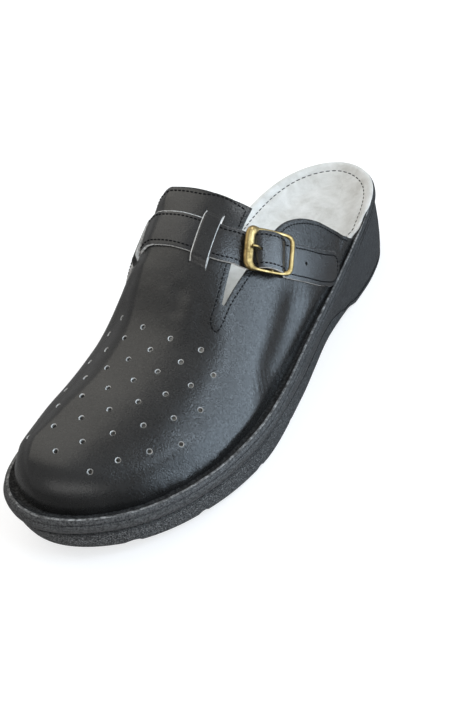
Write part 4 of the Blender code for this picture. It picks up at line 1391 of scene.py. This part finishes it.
def add_leather(work, corner, tips, grid, strips, edges):
    """Adds both faces of the upper and returns the directed edges of its squares."""
    lift, last = grid[:, 2], grid.shape[2] - 1
    sides = {}
    for column, present in enumerate(strips):
        for row in np.flatnonzero(present[:-1]):
            square = ((column, row), (column, row + 1), (column + 1, row + 1), (column + 1, row))
            pale = edges[column] and lift[column, row:row + 2].min() > BAND_PALE
            work.faces.new([corner(0, *spot) for spot in square]).material_index = PALE if pale else LEATHER
            work.faces.new([corner(1, *spot) for spot in reversed(square)]).material_index = INSIDE
            sides.update(dict.fromkeys(zip(square, square[1:] + square[:1])))
        near, far = column, column + 1
        work.faces.new((tips[0], corner(0, far, last), corner(0, near, last))).material_index = LEATHER
        work.faces.new((corner(1, near, last), corner(1, far, last), tips[1])).material_index = INSIDE
    return sides


def add_cut_edges(work, corner, sides, grid):
    """Adds the cut edges of the upper and returns their outer rims."""
    angle, lift, last = grid[:, 1], grid[:, 2], grid.shape[2] - 1
    rims = []
    for start, end in sides:
        if (end, start) in sides or start[1] == end[1] == last:
            continue
        square = (corner(0, *end), corner(0, *start), corner(1, *start), corner(1, *end))
        on_band = max(lift[start], lift[end]) > BAND_PALE
        work.faces.new(square).material_index = PALE if on_band else DYED
        if abs(angle[start]) < RIM_ANGLE:
            rims.append(work.edges.get(square[:2]))
    return rims


def rounded(work, rims, radius, band):
    """Rounds rims after turning all faces outwards; returns the new faces."""
    bmesh.ops.recalc_face_normals(work, faces=work.faces)
    return bmesh.ops.bevel(
        work, geom=rims, offset=radius * MM, segments=2, profile=0.5, affect="EDGES", clamp_overlap=True,
        material=band,
    )["faces"]


def make_upper():
    grid, strips, edges = fine_grid(fine_rows())
    work = bmesh.new()
    tip = upper_surface(TOE_TIP, 90.0)
    tips = [work.verts.new(tip + np.array((0.0, depth * MM, 0.0))) for depth in (0.0, WALL)]
    corner = shell_corners(work, grid)
    sides = add_leather(work, corner, tips, grid, strips, edges)
    rims = add_cut_edges(work, corner, sides, grid)
    last = grid.shape[2] - 1
    for column in (0, len(strips)):
        end = [corner(0, column, last), *tips, corner(1, column, last)]
        work.faces.new(end if column == 0 else end[::-1]).material_index = DYED
    turned = rounded(work, rims, EDGE_ROUND, LEATHER)
    for _ in range(2):
        beside = [[near for edge in face.edges for near in edge.link_faces] for face in turned]
        bands_beside = [{near.material_index for near in faces} for faces in beside]
        for face, bands in zip(turned, bands_beside):
            if PALE in bands:
                face.material_index = PALE
    mesh = mesh_of(work, "upper_leather")
    materials = [UPPER_LEATHER, LINING, RAW_EDGE, DYED_EDGE, BORE_SHADE]
    return add_piece("upper_leather", carved(mesh, perforations(), materials), materials, "upper")


def perforations():
    """Holes of the upper, as bodies to cut away."""
    tool = bmesh.new()
    bow_middle, arc_middle = PERFORATION_MIDDLE
    for row_station, row_arc, pitch, first, holes in PERFORATION_ROWS:
        for hole in range(holes):
            place_in_row = first + 2 * hole
            station = row_station - PERFORATION_BOW * (place_in_row - bow_middle) ** 2
            angle = angle_at_arc(station, row_arc + (arc_middle - place_in_row) * pitch)
            spot = upper_surface(station, angle)
            outward = upper_normal(station, angle)
            spot = spot + outward * relief(station, angle, spot) * MM
            add_turned(tool, spot, outward, PERFORATION_FORM, HOLE_SIDES)
    bmesh.ops.recalc_face_normals(tool, faces=tool.faces)
    return tool


# Stitches


def stitch_form():
    """Points and faces of one stitch of unit half sizes: a blunt bar along Y."""
    turn = np.linspace(0.0, 2 * math.pi, STITCH_SIDES, endpoint=False)
    along = np.linspace(-1.0, 1.0, STITCH_RINGS)
    wide = np.maximum((1 - np.abs(along) ** STITCH_BLUNT) ** (1 / STITCH_BLUNT), STITCH_END)
    points = [(w * math.cos(a), y, w * math.sin(a)) for y, w in zip(along, wide) for a in turn]
    faces = []
    for near in range(0, len(points) - STITCH_SIDES, STITCH_SIDES):
        far = near + STITCH_SIDES
        for i in range(STITCH_SIDES):
            j = (i + 1) % STITCH_SIDES
            faces.append((near + i, far + i, far + j, near + j))
    faces.append(tuple(range(STITCH_SIDES)))
    faces.append(tuple(range(len(points) - 1, len(points) - 1 - STITCH_SIDES, -1)))
    return np.array(points), faces


def stitch_mesh(name, seams, stitch=SEAM_STITCH):
    """Mesh of all stitches along seams, each a line of points in metres with its normals."""
    pitch, length, width, sink = stitch
    form, form_faces = stitch_form()
    half = np.array((width, length, width)) / 2 * MM
    points, faces = [], []
    for line, normals in seams:
        run = run_along(line) / MM
        count = int(run[-1] / pitch)
        for at in (np.arange(count) + 0.5) * run[-1] / count:
            before, spot, after = (at_run(at + step, run, line) for step in (-0.5, 0.0, 0.5))
            outward = unit(at_run(at, run, normals))
            along = after - before
            along = unit(along - outward * np.dot(along, outward))
            axes = np.stack([np.cross(along, outward), along, outward])
            start = len(points) * len(form)
            points.append(spot - outward * sink * MM + (form * half) @ axes)
            faces.extend(tuple(start + corner for corner in face) for face in form_faces)
    mesh = bpy.data.meshes.new(name)
    mesh.from_pydata(np.vstack(points).tolist(), [], faces)
    return mesh


def on_upper(places):
    """Line and normals of even places (station, angle) on the relief of the upper."""
    station, angle = spread_line(places, SEAM_STEPS).T
    base = upper_surface(station, angle)
    normal = upper_normal(station, angle)
    return base + normal * (relief(station, angle, base) * MM)[:, None], normal


def make_upper_stitches():
    mesh = stitch_mesh("upper_stitches", [on_upper(places) for places in UPPER_SEAMS])
    return add_piece("upper_stitches", mesh, [DARK_THREAD])


def make_insole_stitches():
    mesh = stitch_mesh("insole_stitches", [insole_seam()], INSOLE_STITCH)
    return add_piece("insole_stitches", mesh, [INSOLE_THREAD])


# Strap


def strap_half_width(line):
    """Half width of the strap along its line: it ends in a round tip."""
    left = (line[-1, 3] - line[:, 3]) / (STRAP_WIDTH / 2)
    return STRAP_WIDTH / 2 * np.sqrt(np.clip(1 - np.clip(1 - left, 0.0, 1.0) ** 2, STRAP_TIP, 1.0))


def add_strap_body(work, line):
    """Adds the strap, leather over lining with raw edges, and returns its upper rims."""
    half = strap_half_width(line)
    crowned = [STRAP_THICK - STRAP_CROWN * abs(share) ** 4 for share in STRAP_SHARES]
    low, high = (
        [strap_point(line, share * half, lift) for share, lift in zip(STRAP_SHARES, lifts)]
        for lifts in ([0.0] * len(crowned), crowned)
    )
    low, high = ([[work.verts.new(point) for point in column] for column in side] for side in (low, high))
    last = len(line) - 1
    for side, band in ((low, INSIDE), (high, LEATHER)):
        for near, far in zip(side, side[1:]):
            for i in range(last):
                square = (near[i], near[i + 1], far[i + 1], far[i])
                face = work.faces.new(square if side is low else square[::-1])
                worn = far is high[-1] and line[i, 1] < STRAP_WORN
                face.material_index = PALE if worn else band
    outline = [((column, i), (column, i + 1)) for column in (0, len(low) - 1) for i in range(last)]
    outline += [((column, end), (column + 1, end)) for end in (0, last) for column in range(len(low) - 1)]
    rims = []
    for (column, i), (after, j) in outline:
        square = (low[column][i], low[after][j], high[after][j], high[column][i])
        work.faces.new(square).material_index = PALE
        rims.append(work.edges.get(square[2:]))
    return rims


def strap_tool(line):
    """Holes of the strap and the slot for the prong, as bodies to cut away."""
    tool = bmesh.new()
    for run in STRAP_HOLES:
        station, angle, lift = at_run(run, line[:, 3], line)
        start, end = (upper_surface(station, angle, lift + far) for far in STRAP_HOLE_ENDS)
        add_cylinder(tool, start, end, STRAP_HOLE, HOLE_SIDES, DYED)
    origin, axes = buckle_axes()
    start, end, width = PRONG_SLOT
    centre = origin + axes[0] * (start + end) / 2 * MM + axes[2] * FRAME_HEIGHT * MM
    add_box(tool, centre, axes, (end - start, width, BUCKLE_ACROSS), DYED)
    return tool


def make_strap():
    line = strap_line()
    work = bmesh.new()
    rounded(work, add_strap_body(work, line), STRAP_ROUND, PALE)
    materials = [STRAP_LEATHER, LINING, RAW_EDGE, DYED_EDGE]
    mesh = carved(mesh_of(work, "strap_leather"), strap_tool(line), materials)
    return add_piece("strap_leather", mesh, materials, "strap")


def make_strap_stitches():
    line = strap_line()
    half = np.maximum(strap_half_width(line) - STRAP_SEAM, 0.0)
    inner = line[:, 3] < line[-1, 3] - STRAP_SEAM
    line, half = line[inner], half[inner]
    near, far = (strap_point(line, side * half, STRAP_THICK - STRAP_SEAM_SINK) for side in (-1.0, 1.0))
    normals = upper_normal(line[:, 0], line[:, 1])
    around = np.vstack([near, far[::-1]]), np.vstack([normals, normals[::-1]])
    mesh = stitch_mesh("strap_stitches", [around])
    return add_piece("strap_stitches", mesh, [DARK_THREAD])


# Buckle


def make_buckle():
    turn = np.linspace(0.0, 2 * math.pi, FRAME_STEPS, endpoint=False)
    half_length, half_across = BUCKLE_LENGTH / 2, BUCKLE_ACROSS / 2
    x = half_length * np.sign(np.cos(turn)) * np.abs(np.cos(turn)) ** (2 / BUCKLE_BOW)
    y = half_across * np.sign(np.sin(turn)) * np.abs(np.sin(turn)) ** (2 / BUCKLE_CORNER)
    radii = mix(SIDE_BAR, np.where(x < 0, LEFT_BAR, RIGHT_BAR), ease(*BAR_SWELL, np.abs(x) / half_length))
    mesh = swept("buckle_frame", np.stack([x + BUCKLE_LEAN * y, y, 0 * x], 1), radii, True, BAR_FLATNESS)
    ends = [(0, -half_across, 0), (0, half_across, 0)]
    tool = bmesh.new()
    tool.from_mesh(swept("centre_bar", ends, [CENTRE_BAR / 2] * 2, False, 1.0))
    mesh = carved(mesh, tool, [BRASS], "UNION")
    onto_shoe(mesh)
    return add_piece("buckle_frame", mesh, [BRASS], "buckle")


def make_prong():
    ring_radius = CENTRE_BAR / 2 + GAP + HOOK_WIRE / 2
    turn = np.radians(np.linspace(*HOOK_TURN, HOOK_STEPS))
    points = [(ring_radius * math.cos(a), 0.0, ring_radius * math.sin(a)) for a in turn]
    along = np.linspace(PRONG_PATH[0][0], PRONG_PATH[-1][0], PRONG_STEPS)
    points += [(a, 0.0, float(smooth(PRONG_PATH[::-1], 1, a))) for a in along]
    mesh = swept("buckle_pin", points, [HOOK_WIRE / 2] * len(points), False, 1.0)
    onto_shoe(mesh)
    return add_piece("buckle_pin", mesh, [BRASS], "buckle_prong")


# Studio


def heading_of(azimuth, elevation):
    """Direction from the shoe; azimuth from the toe towards the buckle side."""
    turn, rise = math.radians(azimuth), math.radians(elevation)
    return math.sin(turn) * math.cos(rise), -math.cos(turn) * math.cos(rise), math.sin(rise)


def add_light(name, azimuth, elevation, distance, size, power, colour):
    """Soft light that faces the shoe."""
    lamp = bpy.data.lights.new(name, "AREA")
    lamp.shape = "RECTANGLE"
    lamp.size, lamp.size_y = size
    lamp.energy = power
    lamp.color = colour
    obj = bpy.data.objects.new(name, lamp)
    bpy.context.scene.collection.objects.link(obj)
    heading = Vector(heading_of(azimuth, elevation))
    obj.location = Vector(LIGHT_AIM) + heading * distance
    obj.rotation_euler = heading.to_track_quat("Z", "Y").to_euler()
    obj.visible_camera = False


def stage_piece(name, work, glow, bumps, **sockets):
    """Glowing white piece of the studio."""
    stops = [(where, *FLOOR_SHADE) for where in NOISE_SPAN]
    white = plain(
        name, bumps, (300.0,), stops, (50.0,), (0.85, 0.95), Emission_Color=(1.0, 1.0, 1.0, 1.0),
        Emission_Strength=glow, **sockets,
    )
    mesh = mesh_of(work, name)
    mesh.materials.append(white)
    obj = bpy.data.objects.new(name, mesh)
    bpy.context.scene.collection.objects.link(obj)
    return obj


def make_floor():
    work = bmesh.new()
    bmesh.ops.create_grid(work, x_segments=4, y_segments=4, size=FLOOR_SIZE)
    floor = stage_piece("floor", work, FLOOR_GLOW, [(0.05, 40.0, 4.0)], Specular_IOR_Level=0.2)
    floor.visible_glossy = False


def make_backdrop():
    """White surround that only the camera sees."""
    work = bmesh.new()
    bmesh.ops.create_uvsphere(work, u_segments=48, v_segments=24, radius=BACKDROP_SIZE)
    surround = stage_piece("backdrop", work, 1.0, [])
    surround.visible_diffuse = surround.visible_glossy = surround.visible_shadow = False


def make_world():
    """Grey sky with a bright window beside the shoe."""
    world = bpy.data.worlds.new("studio")
    world.use_nodes = True
    tree = world.node_tree
    heading = tree.nodes.new("ShaderNodeTexCoord").outputs["Generated"]
    rise = add_node(tree, "ShaderNodeSeparateXYZ", Vector=heading).outputs["Z"]
    share = add_node(tree, "ShaderNodeMapRange", Value=rise, From_Min=-1.0).outputs["Result"]
    sky = add_node(tree, "ShaderNodeValToRGB", Fac=share)
    fill_ramp(sky.color_ramp, [((sine + 1) / 2, level, level, level) for sine, level in SKY])
    tree.links.new(sky.outputs["Color"], tree.nodes["Background"].inputs["Color"])
    aim = add_node(tree, "ShaderNodeVectorMath", Vector=heading)
    aim.operation = "DOT_PRODUCT"
    aim.inputs[1].default_value = heading_of(*WINDOW_AIM)
    low, high = WINDOW_EDGE
    near = add_node(
        tree, "ShaderNodeMapRange", Value=aim.outputs["Value"], From_Min=low, From_Max=high,
        To_Max=WINDOW_LEVEL,
    )
    near.interpolation_type = "SMOOTHSTEP"
    glow = (*WINDOW_COLOUR, 1.0)
    window = add_node(tree, "ShaderNodeBackground", Color=glow, Strength=near.outputs["Result"])
    both = tree.nodes.new("ShaderNodeAddShader")
    for source, target in zip((tree.nodes["Background"], window), both.inputs):
        tree.links.new(source.outputs["Background"], target)
    tree.links.new(both.outputs["Shader"], tree.nodes["World Output"].inputs["Surface"])
    bpy.context.scene.world = world


def make_studio():
    make_floor()
    make_backdrop()
    make_world()
    bpy.context.scene.view_settings.view_transform = "Standard"
    for row in LIGHTS:
        add_light(*row)


def make_camera():
    azimuth, elevation, roll = CAMERA_TURN
    back = np.array(heading_of(azimuth, elevation))
    turn, roll = math.radians(azimuth), math.radians(roll)
    level = np.array((math.cos(turn), math.sin(turn), 0.0))
    upright = np.cross(back, level)
    right = math.cos(roll) * level + math.sin(roll) * upright
    up = math.cos(roll) * upright - math.sin(roll) * level
    data = bpy.data.cameras.new("camera")
    data.lens = CAMERA_LENS
    camera = bpy.data.objects.new("camera", data)
    where = Matrix(np.stack([right, up, back], 1)).to_4x4()
    where.translation = Vector(place(*CAMERA_TARGET) + back * CAMERA_DISTANCE * MM)
    camera.matrix_world = where
    bpy.context.scene.collection.objects.link(camera)
    bpy.context.scene.camera = camera


UPPER_LEATHER = leather("upper_leather", (0.011, 0.0108, 0.0106), 0.26, GRAIN_COAT)
STRAP_LEATHER = leather("strap_leather", (0.012, 0.012, 0.0125), 0.21, STRAP_COAT)
# Pale grey split-leather lining with a short nap
LINING = plain(
    "lining", [(0.12, 0.8, 6.0, 0.7)], (9.0, 6.0), [(0.3, 0.44, 0.43, 0.415), (0.7, 0.60, 0.585, 0.56)],
    (2.0,), (0.85, 0.98), Sheen_Weight=0.2, Specular_IOR_Level=0.25,
)
# Cut edge of the leather, pale grey and fibrous
RAW_EDGE = plain(
    "raw_edge", [(0.12, 0.5, 6.0, 0.7)], (1.2, 5.0, 0.7),
    [(0.3, 0.22, 0.22, 0.215), (0.62, 0.60, 0.59, 0.57)],
    (1.5,), (0.7, 0.95), Specular_IOR_Level=0.3,
)
# Cut edge dyed black
DYED_EDGE = plain(
    "dyed_edge", [(0.12, 0.6, 5.0, 0.7)], (1.4, 5.0),
    [(0.35, 0.010, 0.010, 0.011), (0.7, 0.045, 0.044, 0.043)],
    (1.5,), (0.55, 0.8), Specular_IOR_Level=0.3,
)
# Fibres inside the perforations, painted dark grey as the shade in the holes
BORE_SHADE = plain(
    "bore_painted_shade", [(0.1, 0.5, 5.0, 0.7)], (0.9, 4.0), [(0.35, 0.05, 0.05, 0.048), (0.7, 0.16, 0.158, 0.15)],
    (1.5,), (0.8, 0.95), Specular_IOR_Level=0.2,
)
DARK_THREAD = thread("dark_thread", (0.004, 0.004, 0.0045))
INSOLE_THREAD = thread("insole_thread", (0.05, 0.05, 0.05))
# Moulded black polyurethane skin with a satin face
SMOOTH_RUBBER = plain(
    "smooth_rubber", [(0.12, 6.0, 3.0), (0.16, 1.0, 6.0, 0.75)], (0.8, 5.0, 0.7),
    [(0.0, 0.006, 0.006, 0.0062), (0.5, 0.022, 0.022, 0.0223), (1.0, 0.085, 0.085, 0.0855)],
    (2.0, 5.0), (0.42, 0.60), toe_ramp=(0.36, 0.72), Specular_IOR_Level=0.2,
)
# Tread rubber with a pebbled, speckled skin
ROUGH_RUBBER = plain(
    "rough_rubber", [(0.25, 3.0, 4.0), (0.35, 1.3), (0.12, 0.6, 5.0, 0.7)], (0.6, 3.0, 0.6),
    [(0.0, 0.006, 0.006, 0.0062), (0.6, 0.030, 0.030, 0.0304), (1.0, 0.13, 0.13, 0.13)],
    (1.6, 5.0), (0.5, 0.8), toe_ramp=(0.40, 0.76), Specular_IOR_Level=0.22,
)
# Top of the bead, painted pale grey as a highlight, mottled at random
BEAD_HIGHLIGHT_RUBBER = plain(
    "bead_highlight_rubber", [(0.15, 1.2, 5.0, 0.7)], (2.2, 6.0, 0.7),
    [(0.36, 0.015, 0.015, 0.015), (0.50, 0.10, 0.10, 0.10), (0.64, 0.30, 0.30, 0.295)],
    (2.0, 5.0), (0.35, 0.55), Specular_IOR_Level=0.4,
)
# Dusty black channel between the bead and the upper
CREASE_RUBBER = plain(
    "crease_rubber", [(0.2, 0.9, 5.0, 0.7)], (1.1, 5.0, 0.7),
    [(0.42, 0.014, 0.014, 0.014), (0.70, 0.075, 0.075, 0.075)],
    (2.0, 5.0), (0.85, 0.95), Specular_IOR_Level=0.12,
)
# Off-white suede of the insole, mottled and napped
SUEDE = plain(
    "suede", [(0.20, 5.0, 5.0, 0.6), (0.16, 0.7, 6.0, 0.75)], (11.0, 8.0, 0.68, 0.4),
    [(0.30, 0.48, 0.465, 0.43), (0.5, 0.60, 0.59, 0.56), (0.72, 0.71, 0.70, 0.675)],
    (2.0,), (0.88, 1.0), Sheen_Weight=0.3, Sheen_Roughness=0.5, Specular_IOR_Level=0.15,
)
# Antique brass: bright patches and tarnished brown ones, spread at random
TARNISH = (4.5, 6.0, 0.65, 0.5)
BRASS = plain(
    "brass", [(0.05, 2.4, 4.0), (0.015, 0.35, 4.0)], TARNISH,
    [(0.28, 0.09, 0.06, 0.02), (0.48, 0.30, 0.21, 0.085), (0.72, 0.50, 0.38, 0.18)],
    TARNISH, (0.46, 0.26), Metallic=1.0,
)

make_sole()
make_insole()
make_upper()
make_strap()
make_buckle()
make_prong()
make_upper_stitches()
make_strap_stitches()
make_insole_stitches()
make_studio()
make_camera()
